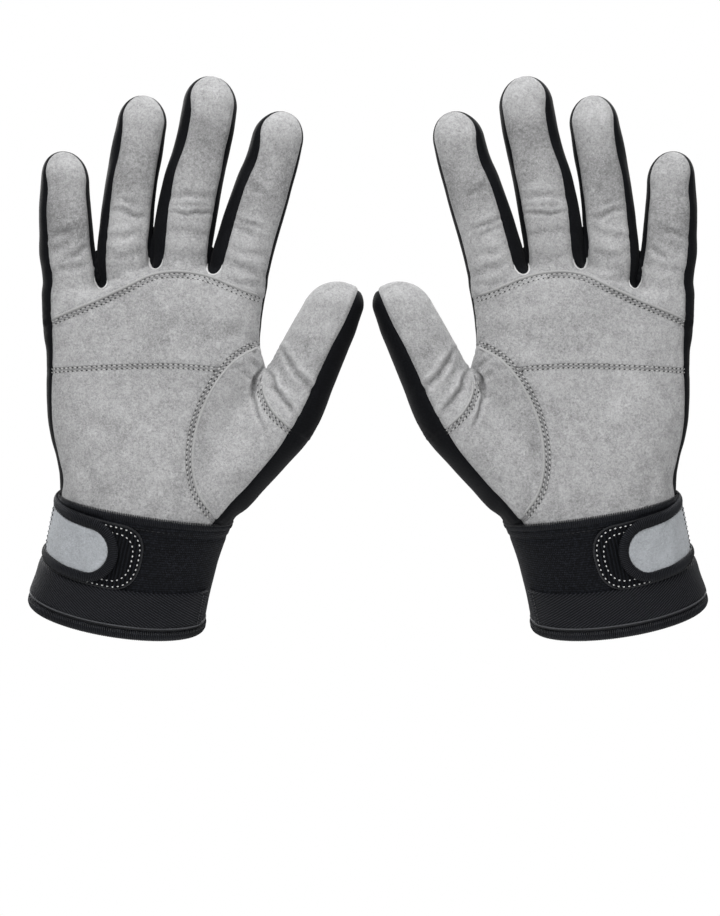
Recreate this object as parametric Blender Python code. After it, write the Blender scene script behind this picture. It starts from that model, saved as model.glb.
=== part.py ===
"""A pair of long-finger sailing gloves, held as they are worn: fingers up, palms towards -Y.

Every piece is modelled once, for the right hand, and mirrored for the left. The glove's own
coordinates are (u, v, w) in millimetres: u across the palm towards the thumb, v up along the
middle finger, w out of the palm. Its origin is the middle of the wrist.
"""

import math

import bmesh
import bpy
from mathutils import Matrix, Vector

MM = 0.001

# Where the gloves are held.
WRIST_APART = 93.5  # from the middle plane of the pair to each wrist
WRIST_HEIGHT = 44.5  # of each wrist above the middle of the hand openings
GLOVE_TILT = math.radians(9.4)  # each glove leans towards the other
CUFF_LEAN = math.radians(18.0)  # the forearm goes back behind the palm
MITRE = math.tan(CUFF_LEAN / 2)  # slope of the plane where palm and cuff meet

# Fabric, and the clearance between pieces that are sewn edge to edge.
SUEDE = 1.3
STRETCH = 1.3
NEOPRENE = 2.6
SEAM_GAP = 0.4
PANEL_GAP = 0.9
JOINT_GAP = 0.5
WRIST_GAP = 1.2

# Fingers: base and tip of the centre line, half widths, half depths, and the two folding lines.
FINGERS = {
    "index": dict(base=(22.4, 100.0), tip=(30.2, 174.5), wide=(12.3, 11.2), deep=(11.0, 9.2), folds=(111.0, 129.0)),
    "middle": dict(base=(-2.7, 100.0), tip=(-1.0, 184.5), wide=(11.6, 11.0), deep=(11.0, 9.2), folds=(111.0, 131.0)),
    "ring": dict(base=(-27.2, 96.0), tip=(-28.6, 171.5), wide=(10.6, 10.4), deep=(10.6, 8.9), folds=(107.0, 125.0)),
    "little": dict(base=(-47.4, 86.0), tip=(-57.6, 143.2), wide=(10.8, 9.5), deep=(10.0, 8.4), folds=(95.0, 109.5)),
}
FOLD_DEPTH = 6.0  # of a finger's folding line in front of its middle plane
FINGER_BEND = (math.radians(75.0), math.radians(85.0))

# Thumb: centre line (u, v, half width, half depth) from its base to the middle of its tip.
THUMB_LINE = [(47.0, 46.0, 17.0, 15.5), (53.0, 60.0, 14.6, 14.0), (58.0, 74.0, 13.6, 13.0), (62.4, 86.0, 13.2, 12.2), (66.0, 96.0, 12.4, 11.0)]
THUMB_TIP = (69.5, 107.5)
THUMB_FOLDS = [((49.5, 50.5), math.radians(38.0)), ((56.0, 69.5), math.radians(30.0))]
THUMB_BEND = (math.radians(15.0), math.radians(25.0))
THUMB_TURN = math.radians(38.0)  # the thumb's pad faces between the palm's front and the fingers

# Palm outline: half sections between these edges, (v, u).
LITTLE_EDGE = [(-12, -38.0), (0, -38.0), (8, -37.0), (20, -42.6), (32, -46.6), (44, -49.0), (62, -52.5), (75, -55.5), (89, -59.0), (112, -60.5)]
THUMB_EDGE = [(-12, 35.0), (0, 36.5), (8, 42.0), (15, 48.0), (29, 57.0), (42, 64.0), (50, 62.0), (58, 52.0), (66, 41.0), (75, 36.6), (85, 34.6), (112, 34.2)]
PALM_FRONT = [(-12, 22.8), (8, 23.4), (25, 22.4), (45, 20.5), (70, 17.0), (90, 13.5), (112, 11.0)]
PALM_BACK = [(-12, 22.0), (8, 18.5), (20, 16.0), (90, 16.0), (112, 12.0)]
SQUARENESS = 2.3
FLAT_SHARE = 0.2  # of the half width, flat in the middle of the palm and of the back
# Seams of the palm, (v, u), and the cross seam by its height at the little-finger side and its slope.
LITTLE_SEAM_IN = [(-12, 1.2), (15, 1.5), (50, 2.4), (90, 3.8), (112, 4.4)]
THUMB_SEAM = [(-12, 29.5), (0, 29.8), (6, 33.0), (14, 38.6), (21, 43.4), (28, 47.7), (35, 51.7), (48, 57.0), (58, 48.0), (66, 38.6), (75, 34.8), (112, 32.4)]
THENAR_SEAM = [(-12, 30.0), (0, 29.4), (10, 18.3), (18, 15.3), (28, 13.3), (37, 13.4), (45, 14.3), (52, 15.6), (60, 18.6), (68, 22.9), (73, 30.5), (78, 36.0)]
CROSS_SEAM_V = 62.0
CROSS_SEAM_SLOPE = 0.19
# Columns across the back and the palm as shares of the width; the close pairs are the steps between fingers.
COLUMNS = [0.0, 0.012, 0.05, 0.14, 0.255, 0.266, 0.36, 0.469, 0.482, 0.6, 0.7345, 0.7355, 0.87, 0.95, 0.988, 1.0]
FINGER_COLUMNS = {"little": (0.0, 0.26), "ring": (0.26, 0.475), "middle": (0.475, 0.735), "index": (0.735, 1.01)}

# Cuff, in its own coordinates: the same u and w, and v down the forearm.
CUFF_CENTRE = -3.0
CUFF_SHIFT = 0.068  # sideways per millimetre down the cuff
CUFF_WIDE = 36.8
CUFF_DEEP = 23.6
CUFF_LENGTH = 43.5
BAND = dict(top=-28.5, bottom=-43.0, thick=1.2, start=33.0, end=214.0)
HEM = dict(height=5.2, thick=4.6)
PATCH = dict(top=1.0, bottom=-27.0, thick=0.9, reach=80.0, start=150.0)
STRAP = dict(top=1.0, bottom=-26.0, core=2.0, face=0.9, reach=95.0, start=186.0, rim=3.6)
STRAP_CLEAR = 1.9
STRAP_TURN = math.radians(186.0)

COLOURS = {
    "grey_suede": ((0.43, 0.43, 0.43), 0.95),
    "black_stretch": ((0.012, 0.012, 0.014), 0.8),
    "black_neoprene": ((0.010, 0.010, 0.012), 0.85),
    "black_elastic": ((0.016, 0.016, 0.019), 0.7),
    "black_binding": ((0.008, 0.008, 0.010), 0.6),
    "black_loop": ((0.009, 0.009, 0.010), 0.95),
    "grey_strap_face": ((0.40, 0.42, 0.44), 0.95),
}


def clear_scene():
    for obj in list(bpy.data.objects):
        bpy.data.objects.remove(obj)


def material(name):
    found = bpy.data.materials.get(name)
    if found:
        return found
    made = bpy.data.materials.new(name)
    made.use_nodes = True
    colour, roughness = COLOURS[name]
    shader = made.node_tree.nodes["Principled BSDF"]
    shader.inputs["Base Color"].default_value = (*colour, 1.0)
    shader.inputs["Roughness"].default_value = roughness
    shader.inputs["Metallic"].default_value = 0.0
    return made


def along(points, at):
    """The value at `at` on a line through (position, value) points."""
    if at <= points[0][0]:
        return points[0][1]
    for (a, x), (b, y) in zip(points, points[1:]):
        if at <= b:
            return x + (y - x) * (at - a) / (b - a)
    return points[-1][1]


def to_blender(point):
    """(u, v, w) in millimetres to the glove's axes in metres."""
    u, v, w = point
    return Vector((u, -w, v)) * MM


# ---------------------------------------------------------------- where things hang


def make_frames():
    """One empty for each glove and each folding line, on both sides, by (side, key)."""
    frames = {}
    points = {"palm": Vector((0, 0, 0)), "cuff": Vector((0, 0, 0))}
    for side, sign in (("right", -1), ("left", 1)):
        root = new_empty(f"{side}_glove", None)
        root.location = (sign * WRIST_APART * MM, 0, WRIST_HEIGHT * MM)
        root.rotation_euler = (0, -sign * GLOVE_TILT, 0)
        root.scale = (-sign, 1, 1)
        frames[side, "palm"] = root
        cuff = new_empty(f"{side}_cuff_frame", root)
        cuff.rotation_euler = (CUFF_LEAN, 0, 0)
        frames[side, "cuff"] = cuff
        frames[side, "strap"] = new_empty(f"{side}_strap_fold", cuff)
        points["strap"] = strap_fold_point()
        frames[side, "strap"].location = to_blender(points["strap"])
        for finger in (*FINGERS, "thumb"):
            parent, last = root, Vector((0, 0, 0))
            for which in (0, 1):
                key = (finger, which)
                points[key] = fold_of(finger, which)[0]
                frame = new_empty(f"{side}_{finger}_fold_{which + 1}", parent)
                frame.location = to_blender(points[key] - last)
                frames[side, key] = frame
                parent, last = frame, points[key]
    return frames, points


def new_empty(name, parent):
    empty = bpy.data.objects.new(name, None)
    bpy.context.scene.collection.objects.link(empty)
    empty.parent = parent
    return empty


def fold_of(finger, which):
    """(point, axis, straight-on direction, palm-side direction, cut slope) of a folding line."""
    if finger == "thumb":
        (u, v), angle = THUMB_FOLDS[which]
        ahead = Vector((math.sin(angle), math.cos(angle), 0))
        sideways = Vector((-math.cos(angle), math.sin(angle), 0))
        out = Vector((0, 0, math.cos(THUMB_TURN))) + sideways * math.sin(THUMB_TURN)
        point = Vector((u, v, 0)) + out * FOLD_DEPTH
        bend = THUMB_BEND[which]
    else:
        spec = FINGERS[finger]
        v = spec["folds"][which]
        point = Vector((finger_centre(spec, v), v, FOLD_DEPTH))
        ahead, out = Vector((0, 1, 0)), Vector((0, 0, 1))
        bend = FINGER_BEND[which]
    axis = ahead.cross(out)
    return point, axis, ahead, out, math.tan(bend / 2 + math.radians(2))


def finger_centre(spec, v):
    (u0, v0), (u1, v1) = spec["base"], spec["tip"]
    return u0 + (u1 - u0) * (v - v0) / (v1 - v0)


# ---------------------------------------------------------------- meshes


def sheet_mesh(name, rows, frame_point, slot, wrap=False):
    """A sheet through rows of points; a Solidify gives it its thickness later."""
    bm = bmesh.new()
    known = {}

    def vertex(point):
        key = tuple(round(x, 4) for x in point)
        if key not in known:
            known[key] = bm.verts.new(to_blender(Vector(point) - frame_point))
        return known[key]

    grid = [[vertex(p) for p in row] for row in rows]
    width = len(grid[0])
    for low, high in zip(grid, grid[1:]):
        for j in range(width if wrap else width - 1):
            k = (j + 1) % width
            corners = []
            for corner in (low[j], low[k], high[k], high[j]):
                if corner not in corners:
                    corners.append(corner)
            if len(corners) > 2:
                bm.faces.new(corners)
    mesh = bpy.data.meshes.new(name)
    bm.to_mesh(mesh)
    bm.free()
    mesh.materials.append(material(slot))
    return mesh


def add_pieces(name, mesh, key, frames, thickness=0.0, outwards=False, cutters=None):
    """The right and the left piece, which share a mesh."""
    for side in ("right", "left"):
        obj = bpy.data.objects.new(f"{side}_{name}", mesh)
        bpy.context.scene.collection.objects.link(obj)
        obj.parent = frames[side, key]
        if thickness:
            solid = obj.modifiers.new("thickness", "SOLIDIFY")
            solid.thickness = thickness * MM
            solid.offset = 1.0 if outwards else -1.0
            solid.use_even_offset = False
        for cutter in (cutters or {}).get(side, []):
            cut = obj.modifiers.new("cut", "BOOLEAN")
            cut.operation = "DIFFERENCE"
            cut.solver = "EXACT"
            cut.object = cutter


def arc_angles(start, end, count, radius=0.0):
    """Angles from start to end in degrees, kept back by half a seam's gap at both ends, as radians."""
    if radius:
        half_gap = math.degrees(math.asin(PANEL_GAP / 2 / radius))
        start, end = start + half_gap, end - half_gap
    return [math.radians(start + (end - start) * i / count) for i in range(count + 1)]


# ---------------------------------------------------------------- fingers and thumb

PAD_FROM, PAD_TO = 22.0, 134.0  # the suede's stretch round a finger, in degrees from the thumb side
THUMB_PAD = (58.0, 196.0)
PAD_STEPS, BACK_STEPS = 6, 11
TIP_RISE = [math.radians(a) for a in (0, 32, 60, 84)]


def oval(centre, ahead, wide, deep, arc):
    """Points round a sleeve, square to `ahead`; arc is (start, end, count) in degrees."""
    across = Vector((ahead.y, -ahead.x, 0))
    angles = arc_angles(*arc, radius=wide)
    return [centre + across * (wide * math.cos(a)) + Vector((0, 0, deep * math.sin(a))) for a in angles]


def cut_row(row, along_sleeve, fold, side):
    """The row slid along the sleeve to the sloping cut at a folding line; side is 1 past the line."""
    point, _, ahead, out, slope = fold
    made = []
    for p in row:
        for _ in range(6):
            off = p - point
            want = side * (JOINT_GAP + max(0.0, off.dot(out)) * slope)
            p = p + along_sleeve * ((want - off.dot(ahead)) / along_sleeve.dot(ahead))
        made.append(p)
    return made


def sleeve_rows(stations, tip, arc, first, second):
    """(rows of the base segment, rows of the tip segment) of a finger sleeve.

    stations are (centre, half width, half depth) up the sleeve, and tip is the end of its dome."""
    low, high = nearest_station(stations, first), nearest_station(stations, second)
    base = [
        cut_row(oval(*low, arc), low[1], first, 1),
        cut_row(oval(*high, arc), high[1], second, -1),
    ]
    end = [cut_row(oval(*high, arc), high[1], second, 1)]
    dome, wide, deep = stations[-1]
    ahead = (tip - dome).normalized()
    rise = (tip - dome).length
    for angle in TIP_RISE:
        shrink = math.cos(angle)
        end.append(oval(dome + ahead * (rise * math.sin(angle)), ahead, wide * shrink, deep * shrink, arc))
    return base, end


def nearest_station(stations, fold):
    """(centre, direction, half width, half depth) where the sleeve passes a folding line."""
    point, _, ahead, _, _ = fold
    for (a, wide_a, deep_a), (b, wide_b, deep_b) in zip(stations, stations[1:]):
        step = b - a
        share = (Vector((point.x, point.y, 0)) - a).dot(ahead) / step.dot(ahead)
        if share <= 1.0:
            break
    share = max(share, -0.5)
    return a + step * share, step.normalized(), wide_a + (wide_b - wide_a) * share, deep_a + (deep_b - deep_a) * share


def finger_stations(spec):
    (u0, v0), (u1, v1) = spec["base"], spec["tip"]
    (wide0, wide1), (deep0, deep1) = spec["wide"], spec["deep"]
    base, tip = Vector((u0, v0, 0)), Vector((u1, v1, 0))
    length = (tip - base).length
    dome_share = 1 - 1.05 * wide1 / length
    return [(base, wide0, deep0), (base + (tip - base) * dome_share, wide1, deep1)], tip


def make_finger(finger, frames, points):
    if finger == "thumb":
        stations = [(Vector((u, v, 0)), wide, deep) for u, v, wide, deep in THUMB_LINE]
        tip = Vector((*THUMB_TIP, 0))
        pad = THUMB_PAD
    else:
        stations, tip = finger_stations(FINGERS[finger])
        pad = (PAD_FROM, PAD_TO)
    folds = [fold_of(finger, which) for which in (0, 1)]
    arcs = {
        "suede": (pad[0], pad[1], PAD_STEPS, "grey_suede", SUEDE),
        "stretch": (pad[1], pad[0] + 360, BACK_STEPS, "black_stretch", STRETCH),
    }
    for cloth, (start, end, count, slot, thickness) in arcs.items():
        base, tip_rows = sleeve_rows(stations, tip, (start, end, count), *folds)
        for part, which, rows in (("base", 0, base), ("tip", 1, tip_rows)):
            name = f"{finger}_{part}_{cloth}"
            mesh = sheet_mesh(name, [row[::-1] for row in rows], points[finger, which], slot)
            add_pieces(name, mesh, (finger, which), frames, thickness)


# ---------------------------------------------------------------- palm and back of the hand


def section(v):
    """(middle, half width, front depth, back depth) of the hand at height v."""
    low, high = along(LITTLE_EDGE, v), along(THUMB_EDGE, v)
    return (low + high) / 2, (high - low) / 2, along(PALM_FRONT, v), along(PALM_BACK, v)


def depth_at(u, v, front):
    middle, half, deep_front, deep_back = section(v)
    share = min(1.0, max(0.0, (abs(u - middle) / half - FLAT_SHARE) / (1 - FLAT_SHARE)))
    rise = (1 - share**SQUARENESS) ** (1 / SQUARENESS)
    return deep_front * rise if front else -deep_back * rise


def fold_height(share, w):
    """Where the hand ends below the finger that stands over this column, kept clear of its fold."""
    for finger, (low, high) in FINGER_COLUMNS.items():
        if low <= share < high:
            fold = fold_of(finger, 0)
            return fold[0].y - JOINT_GAP - max(0.0, w - FOLD_DEPTH) * fold[4]


def wrist_height(w):
    return -w * MITRE + WRIST_GAP / 2


BACK_HEIGHTS = [16.0, 30.0, 45.0, 58.0, 72.0, 86.0]


def back_panel_rows():
    """From the little-finger seam round the back of the hand to the thumb seam."""
    rows = []
    for v in (-8.0, *BACK_HEIGHTS, 999.0):
        level = min(v, 92.0)
        low, high = along(LITTLE_EDGE, level), along(THUMB_EDGE, level)
        seam_low = low + along(LITTLE_SEAM_IN, level) - PANEL_GAP / 2
        seam_high = min(along(THUMB_SEAM, level) + PANEL_GAP / 2, high - 0.6)
        columns = [((seam_low - low) / (high - low), True)]
        columns += [(share, False) for share in COLUMNS]
        columns += [((seam_high + high * 3) / 4, True), (seam_high, True)]
        row = []
        for share, front in columns:
            u = share if share > 1.5 else low + (high - low) * share
            share = (u - low) / (high - low)
            w = depth_at(u, level, front)
            height = v
            if v > 900:
                height = fold_height(max(0.0, share), w)
            elif v < 0:
                height = wrist_height(w)
            row.append((u, height, w))
        rows.append(row)
    return rows


def panel_rows(left, right, bottom, top, across, up):
    """A grid between four seams: left and right give u at a height, bottom and top give v at u and w."""
    rows = []
    for i in range(up + 1):
        row = []
        for share in across:
            v, u = 50.0, 0.0
            for _ in range(12):
                u = left(v) + (right(v) - left(v)) * share
                w = depth_at(u, v, True)
                v = bottom(u, w) + (top(u, w) - bottom(u, w)) * i / up
            row.append((u, v, depth_at(u, v, True)))
        rows.append(row)
    return rows


def cross_seam(u):
    return CROSS_SEAM_V + CROSS_SEAM_SLOPE * u


def little_side(v):
    return along(LITTLE_EDGE, v) + along(LITTLE_SEAM_IN, v) + PANEL_GAP / 2


def thumb_side(v):
    return min(along(THUMB_SEAM, v) - PANEL_GAP, along(THUMB_EDGE, v) - 1.4)


def thenar_side(v):
    return along(THENAR_SEAM, v)


def make_heel_panel(frames, points):
    across = [i / 8 for i in range(9)]
    rows = panel_rows(
        little_side,
        lambda v: thenar_side(v) - PANEL_GAP / 2,
        lambda u, w: wrist_height(w),
        lambda u, w: cross_seam(u) - PANEL_GAP / 2,
        across,
        5,
    )
    mesh = sheet_mesh("palm_heel_suede", rows, points["palm"], "grey_suede")
    add_pieces("palm_heel_suede", mesh, "palm", frames, SUEDE)


def make_upper_panel(frames, points):
    """From the cross seam up to the finger sleeves, with a step between fingers of unlike height."""
    rows = []
    up = 5
    for i in range(up + 1):
        row = []
        for share in (None, *COLUMNS[3:-3], 1.0):
            v, u, w = 90.0, 0.0, 0.0
            for _ in range(12):
                low, high = along(LITTLE_EDGE, v), min(along(THUMB_EDGE, v), 36.0)
                u = low + (high - low) * (share or 0.0)
                if share is None:
                    u = little_side(v)
                elif share == 1.0:
                    u = min(thumb_side(v), 34.5)
                w = depth_at(u, v, True)
                bottom = max(cross_seam(u), upper_edge_of_thenar(u)) + PANEL_GAP / 2
                top = fold_height((u - low) / (high - low), w)
                v = bottom + (top - bottom) * i / up
            row.append((u, v, w))
        rows.append(row)
    mesh = sheet_mesh("palm_upper_suede", rows, points["palm"], "grey_suede")
    add_pieces("palm_upper_suede", mesh, "palm", frames, SUEDE)


def upper_edge_of_thenar(u):
    """Height of the thenar seam above the cross seam, where it runs up to the thumb side."""
    upper = [(u_seam, v) for v, u_seam in THENAR_SEAM if v >= 60]
    return along(upper, u) if u > upper[0][0] else 0.0


def make_thenar_panel(frames, points, cutters):
    rows = []
    for v in (-9.0, 8.0, 18.0, 28.0, 38.0, 48.0, 56.0, 63.0, 69.0, 74.0):
        left, right = thenar_side(v) + PANEL_GAP / 2, thumb_side(v)
        row = []
        for i in range(7):
            u = left + (right - left) * i / 6
            w = depth_at(u, v, True)
            row.append((u, wrist_height(w) if v < 0 else v, w))
        rows.append(row)
    mesh = sheet_mesh("palm_thumb_suede", rows, points["palm"], "grey_suede")
    add_pieces("palm_thumb_suede", mesh, "palm", frames, SUEDE, cutters=cutters)


def make_thumb_cutters(frames):
    """A wedge over the thumb sleeve's mouth, which opens the hand towards the thumb."""
    point, axis, ahead, out, slope = fold_of("thumb", 0)
    reach, front, back, wide = 30.0, 16.0, -30.0, (-17.5, 24.0)
    outline = [
        (-JOINT_GAP, 0.0),
        (-JOINT_GAP - front * slope, front),
        (reach, front),
        (reach, back),
        (-JOINT_GAP, back),
    ]
    bm = bmesh.new()
    ends = []
    for across in wide:
        ring = [bm.verts.new(to_blender(point + ahead * x + out * y + axis * across)) for x, y in outline]
        ends.append(ring)
    bm.faces.new(ends[0][::-1])
    bm.faces.new(ends[1])
    for i in range(len(outline)):
        j = (i + 1) % len(outline)
        bm.faces.new((ends[0][i], ends[0][j], ends[1][j], ends[1][i]))
    bmesh.ops.recalc_face_normals(bm, faces=bm.faces)
    mesh = bpy.data.meshes.new("thumb_mouth_cutter")
    bm.to_mesh(mesh)
    bm.free()
    cutters = {}
    for side in ("right", "left"):
        cutter = bpy.data.objects.new(f"{side}_thumb_mouth_cutter", mesh)
        bpy.context.scene.collection.objects.link(cutter)
        cutter.parent = frames[side, "palm"]
        cutter.hide_render = True
        cutter.display_type = "WIRE"
        cutters[side] = [cutter]
    return cutters


# ---------------------------------------------------------------- cuff and strap


def cuff_point(angle, v, out=0.0):
    """A point of the cuff's skin at an angle from the thumb side, moved out by `out`."""
    centre = CUFF_CENTRE + CUFF_SHIFT * v
    skin = Vector((centre + CUFF_WIDE * math.cos(angle), v, CUFF_DEEP * math.sin(angle)))
    normal = Vector((math.cos(angle) / CUFF_WIDE, 0, math.sin(angle) / CUFF_DEEP)).normalized()
    return skin + normal * out


def ring_rows(heights, angles, out):
    return [[cuff_point(a, v(a) if callable(v) else v, out) for a in angles] for v in heights]


def strap_fold_point():
    return cuff_point(STRAP_TURN, (STRAP["top"] + STRAP["bottom"]) / 2, STRAP_CLEAR + STRAP["core"] / 2)


def mitre_height(angle):
    return CUFF_DEEP * math.sin(angle) * MITRE - WRIST_GAP / 2


def make_cuff(frames, points):
    around = [2 * math.pi * i / 36 for i in range(36)][::-1]
    rows = ring_rows([-CUFF_LENGTH, -30.0, -15.0, mitre_height], around, 0.0)
    mesh = sheet_mesh("cuff", rows, points["cuff"], "black_neoprene", wrap=True)
    add_pieces("cuff_neoprene", mesh, "cuff", frames, NEOPRENE)


def make_band(frames, points):
    angles = arc_angles(BAND["start"], BAND["end"], 20)[::-1]
    rows = ring_rows([BAND["bottom"], BAND["top"]], angles, SEAM_GAP)
    mesh = sheet_mesh("wrist_band", rows, points["cuff"], "black_elastic")
    add_pieces("wrist_band_elastic", mesh, "cuff", frames, BAND["thick"], outwards=True)


def make_hem(frames, points):
    """The binding round the cuff's lower edge, an oval bead that runs all the way round."""
    profile = []
    for i in range(8):
        a = 2 * math.pi * i / 8
        profile.append((HEM["thick"] / 2 * math.cos(a), HEM["height"] / 2 * math.sin(a)))
    middle = -CUFF_LENGTH - SEAM_GAP - HEM["height"] / 2
    around = [2 * math.pi * i / 36 for i in range(36)]
    bm = bmesh.new()
    rings = []
    for angle in around:
        ring = []
        for out, up in profile:
            ring.append(bm.verts.new(to_blender(cuff_point(angle, middle + up, out - NEOPRENE / 2))))
        rings.append(ring)
    for ring, following in zip(rings, rings[1:] + rings[:1]):
        for i in range(8):
            j = (i + 1) % 8
            bm.faces.new((ring[i], following[i], following[j], ring[j]))
    bmesh.ops.recalc_face_normals(bm, faces=bm.faces)
    mesh = bpy.data.meshes.new("hem_binding")
    bm.to_mesh(mesh)
    bm.free()
    mesh.materials.append(material("black_binding"))
    add_pieces("hem_binding", mesh, "cuff", frames)


def tongue_rows(spec, inset, out, count=9, around=9):
    """A strap end round the cuff: straight edges, then a half-round end that reaches `reach` degrees."""
    top, bottom = spec["top"] - inset, spec["bottom"] + inset
    middle, half = (top + bottom) / 2, (top - bottom) / 2
    end = math.radians(spec["reach"]) + inset / CUFF_DEEP
    start = math.radians(spec["start"])
    # the round end takes up an angle equal to half the strap's height on the skin
    round_part = half / CUFF_WIDE
    angles = [start + (end + round_part - start) * i / around for i in range(around + 1)]
    halves = [half] * (around + 1)
    for i in range(1, 5):
        turn = math.radians(90 * i / 4)
        angles.append(end + round_part * (1 - math.sin(turn)))
        halves.append(half * max(math.cos(turn), 0.12))
    rows = []
    for i in range(count):
        share = 2 * i / (count - 1) - 1
        rows.append([cuff_point(a, middle + share * h, out) for a, h in zip(angles, halves)])
    return rows


def make_patch(frames, points):
    mesh = sheet_mesh("landing_patch", tongue_rows(PATCH, 0.0, SEAM_GAP, 5), points["cuff"], "black_loop")
    add_pieces("landing_patch_loop", mesh, "cuff", frames, PATCH["thick"], outwards=True)


def make_strap(frames, points):
    pivot = points["strap"]
    core = sheet_mesh("strap_core", tongue_rows(STRAP, 0.0, STRAP_CLEAR, 5), pivot, "black_binding")
    add_pieces("strap_core", core, "strap", frames, STRAP["core"], outwards=True)
    out = STRAP_CLEAR + STRAP["core"] + SEAM_GAP
    face = sheet_mesh("strap_face", tongue_rows(STRAP, STRAP["rim"], out, 5), pivot, "grey_strap_face")
    add_pieces("strap_face", face, "strap", frames, STRAP["face"], outwards=True)


def main():
    clear_scene()
    frames, points = make_frames()
    cutters = make_thumb_cutters(frames)
    make_heel_panel(frames, points)
    make_upper_panel(frames, points)
    make_thenar_panel(frames, points, cutters)
    back_rows = [row[::-1] for row in back_panel_rows()]
    back = sheet_mesh("hand_back", back_rows, points["palm"], "black_stretch")
    add_pieces("hand_back_stretch", back, "palm", frames, STRETCH, cutters=cutters)
    for finger in (*FINGERS, "thumb"):
        make_finger(finger, frames, points)
    make_cuff(frames, points)
    make_band(frames, points)
    make_hem(frames, points)
    make_patch(frames, points)
    make_strap(frames, points)


main()
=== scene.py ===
"""A pair of sailing gloves worn palm forward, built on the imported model's frame.

Each glove is one smooth skin, cut along its seams into the panels it is sewn from. The skin is
worked out in glove coordinates in millimetres: u across the palm towards the thumb, v up along
the middle finger, w out of the palm. It is then placed for the right hand and mirrored.
"""

import math

import bpy
import numpy as np
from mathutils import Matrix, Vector
from mathutils.bvhtree import BVHTree


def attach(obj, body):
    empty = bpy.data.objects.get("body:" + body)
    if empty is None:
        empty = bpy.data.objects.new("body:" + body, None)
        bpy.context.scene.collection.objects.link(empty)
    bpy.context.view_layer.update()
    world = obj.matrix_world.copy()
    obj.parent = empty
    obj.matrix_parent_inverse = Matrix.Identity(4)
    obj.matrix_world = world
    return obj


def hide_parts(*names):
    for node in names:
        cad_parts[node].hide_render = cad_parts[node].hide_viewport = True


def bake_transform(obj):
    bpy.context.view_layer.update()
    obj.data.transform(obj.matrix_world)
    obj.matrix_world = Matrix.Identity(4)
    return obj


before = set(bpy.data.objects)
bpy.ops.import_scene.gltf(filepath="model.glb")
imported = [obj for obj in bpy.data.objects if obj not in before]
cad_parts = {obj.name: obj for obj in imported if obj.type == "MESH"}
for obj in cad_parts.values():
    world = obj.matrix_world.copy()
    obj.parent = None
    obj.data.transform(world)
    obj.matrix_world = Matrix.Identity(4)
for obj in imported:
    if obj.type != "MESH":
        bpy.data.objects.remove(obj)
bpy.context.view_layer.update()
SIDES = ("right", "left")
FINGERS = ("little", "ring", "middle", "index")

# ------------------------------------------------------------------ placing

METRES = 0.001
WRIST_APART = 93.5
WRIST_HEIGHT = 44.5
TILT = math.radians(9.4)
CUFF_LEAN = math.radians(18.0)
LEAN_COS, LEAN_SIN = math.cos(CUFF_LEAN), math.sin(CUFF_LEAN)
MITRE = math.tan(CUFF_LEAN / 2)


def place(points, side):
    """Glove coordinates in millimetres to the row frame in metres."""
    p = np.asarray(points, float)
    c, s = math.cos(TILT), math.sin(TILT)
    x = p[..., 0] * c + p[..., 1] * s - WRIST_APART
    z = -p[..., 0] * s + p[..., 1] * c + WRIST_HEIGHT
    world = np.stack([x, -p[..., 2], z], -1) * METRES
    return world * (-1, 1, 1) if side == "left" else world


def cuff_frame(u, v, w):
    """Height and depth along the cuff, which leans back behind the palm."""
    return v * LEAN_COS + w * LEAN_SIN, -v * LEAN_SIN + w * LEAN_COS


def from_cuff(u, height, depth):
    """Cuff coordinates back to glove coordinates."""
    v = height * LEAN_COS - depth * LEAN_SIN
    w = height * LEAN_SIN + depth * LEAN_COS
    return np.stack([u, v, w], -1)


# ------------------------------------------------------------------ the hand's form

# For each finger: (v, middle u, half width) up its length, where its dome starts and how long it
# is, the heights of its two folds, where its two panels begin, and how far forward the suede begins on
# the little finger's side and on the thumb's side, as shares of the half depth.
FINGER_FORM = {
    "little": {
        "rows": [
            (70, -42.0, 12.4), (91, -46.4, 12.2), (101, -49.9, 11.8), (111, -52.0, 11.3),
            (120, -53.9, 10.8), (130, -55.7, 10.0), (144, -57.5, 9.6),
        ],
        "dome": 131.5, "rise": 12.2, "folds": (95.0, 109.5), "cuts": (89.3, 102.0), "cloth": (0.86, 0.42),
    },
    "ring": {
        "rows": [
            (80, -24.2, 9.2), (90, -24.5, 9.5), (100, -26.3, 11.0), (110, -27.2, 11.2),
            (125, -28.2, 11.0), (140, -28.3, 10.9), (150, -28.1, 11.0), (160, -27.9, 10.4),
            (172, -28.2, 10.0),
        ],
        "dome": 159.5, "rise": 12.7, "folds": (107.0, 125.0), "cuts": (101.3, 115.0), "cloth": (0.87, 0.36),
    },
    "middle": {
        "rows": [
            (80, -2.4, 11.6), (104, -2.4, 11.8), (118, -3.0, 12.5), (129, -3.2, 12.8),
            (140, -3.1, 12.6), (151, -2.0, 11.7), (163, -1.0, 11.6), (171, -1.0, 11.3),
            (185, -1.5, 10.7),
        ],
        "dome": 172.3, "rise": 12.7, "folds": (111.0, 131.0), "cuts": (105.3, 120.0), "cloth": (0.92, 0.42),
    },
    "index": {
        "rows": [
            (85, 22.2, 12.0), (104, 22.2, 12.3), (113, 22.6, 12.6), (128, 24.4, 12.4),
            (144, 26.7, 11.6), (154, 28.6, 11.1), (165, 29.5, 10.7), (175, 30.3, 10.5),
        ],
        "dome": 162.4, "rise": 13.0, "folds": (111.0, 129.0), "cuts": (105.3, 119.0), "cloth": (1.0, 0.30),
    },
}
# A finger's half depth, as a share of its half width.
FINGER_THICK = 0.87
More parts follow.
